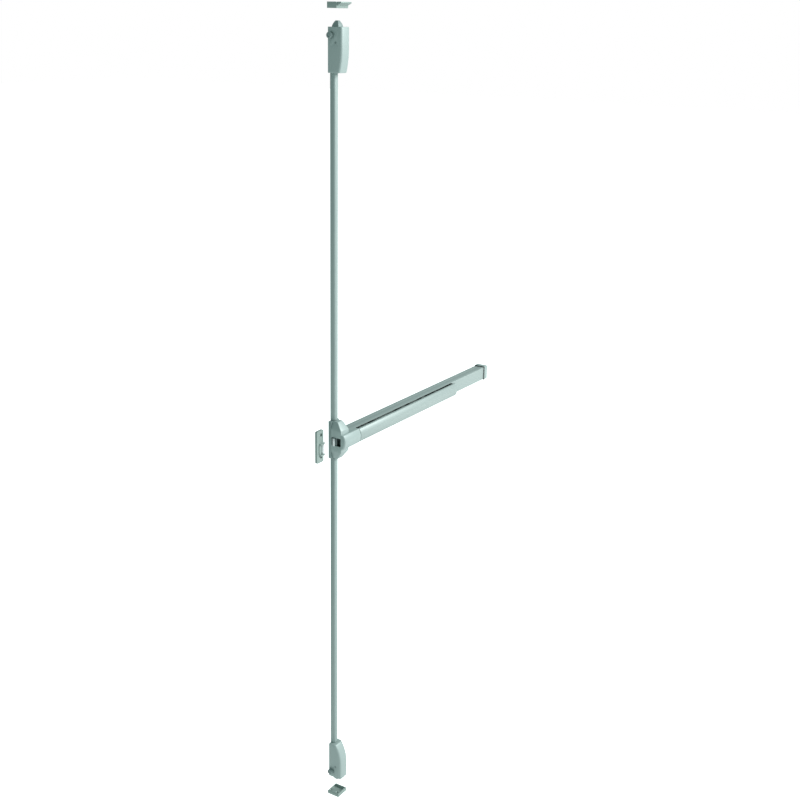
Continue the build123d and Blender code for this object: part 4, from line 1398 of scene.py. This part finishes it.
@dataclass
class Studio:
    """A pale floor, a pale world, a soft box and the camera."""

    floor_z: float = -1.16
    floor_size: float = 60.0
    sky: float = 0.34
    glow: float = 0.15
    camera_azimuth: float = -57.781
    camera_elevation: float = 17.632
    camera_roll: float = 0.994
    camera_distance: float = 3.086
    camera_aim: tuple[float, float, float] = (0.1153, -0.1311, 0.0967)
    lens: float = 54.0
    boxes: list[Softbox] = field(default_factory=lambda: [
        Softbox("key", (3.0, -5.2, 3.5), (0, 0, 0), 3.2, 410),
    ])

    def build(self) -> None:
        """Make the whole studio."""
        self.add_world()
        self.add_floor()
        for box in self.boxes:
            box.build()
        self.add_camera()
        bpy.context.scene.view_settings.view_transform = "Standard"

    def add_world(self) -> None:
        """Light the room evenly with a cool white, which the camera sees as plain white."""
        world = bpy.data.worlds.new("studio_white")
        bpy.context.scene.world = world
        world.use_nodes = True
        tree = world.node_tree
        back = tree.nodes["Background"]
        back.inputs["Color"].default_value = (0.76, 1.0, 0.97, 1)
        back.inputs["Strength"].default_value = self.sky
        seen = tree.nodes.new("ShaderNodeBackground")
        seen.inputs["Color"].default_value = (1, 1, 1, 1)
        rays = tree.nodes.new("ShaderNodeLightPath")
        mix = tree.nodes.new("ShaderNodeMixShader")
        tree.links.new(rays.outputs["Is Camera Ray"], mix.inputs["Fac"])
        tree.links.new(back.outputs["Background"], mix.inputs[1])
        tree.links.new(seen.outputs["Background"], mix.inputs[2])
        tree.links.new(mix.outputs["Shader"], tree.nodes["World Output"].inputs["Surface"])

    def add_floor(self) -> None:
        """Lay the pale floor."""
        bpy.ops.mesh.primitive_plane_add(size=self.floor_size, location=(0, 0, self.floor_z))
        floor = bpy.context.object
        floor.name = "studio_floor"
        sheet = NodeSheet("pale_floor")
        sheet.shader.inputs["Base Color"].default_value = (0.9, 0.9, 0.9, 1)
        sheet.shader.inputs["Roughness"].default_value = 0.9
        sheet.shader.inputs["Emission Color"].default_value = (0.96, 1.0, 0.99, 1)
        seen = sheet.tree.nodes.new("ShaderNodeLightPath").outputs["Is Camera Ray"]
        sheet.link(sheet.ramp(seen, self.glow, 1.0), sheet.shader.inputs["Emission Strength"])
        floor.data.materials.append(sheet.material)

    def add_camera(self) -> None:
        """Add the camera at the catalogue view's angle."""
        azimuth = math.radians(self.camera_azimuth)
        elevation = math.radians(self.camera_elevation)
        forward = Vector((-math.sin(azimuth) * math.cos(elevation), math.cos(azimuth) * math.cos(elevation),
                          -math.sin(elevation)))
        camera = bpy.data.cameras.new("camera")
        camera.lens = self.lens
        camera.sensor_width = 36.0
        rig = bpy.data.objects.new("camera", camera)
        bpy.context.scene.collection.objects.link(rig)
        rig.location = Vector(self.camera_aim) - forward * self.camera_distance
        roll = Matrix.Rotation(math.radians(self.camera_roll), 3, "Z")
        rig.rotation_euler = (forward.to_track_quat("-Z", "Y").to_matrix() @ roll).to_euler()
        bpy.context.scene.camera = rig


def main(frame: dict) -> None:
    """Build every sub-assembly around the frame.
    """
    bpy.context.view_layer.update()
    Studio().build()
    palette = Palette()
    palette.dress_cad(frame)
    shop = Workshop(palette)
    top = EndLatch("top", 1, Body.TOP_ROD, Body.TOP_BUTTON)
    bottom = EndLatch("bottom", -1, Body.BOTTOM_ROD, Body.BOTTOM_BUTTON, end_depth=0.021)
    for section in (TouchBar(), CentreCase(), RodCovers(), top, bottom, Springs(), Strikes()):
        section.build(shop)


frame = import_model()
if __name__ == "__main__":
    logging.basicConfig(level=logging.INFO)
    main(frame)
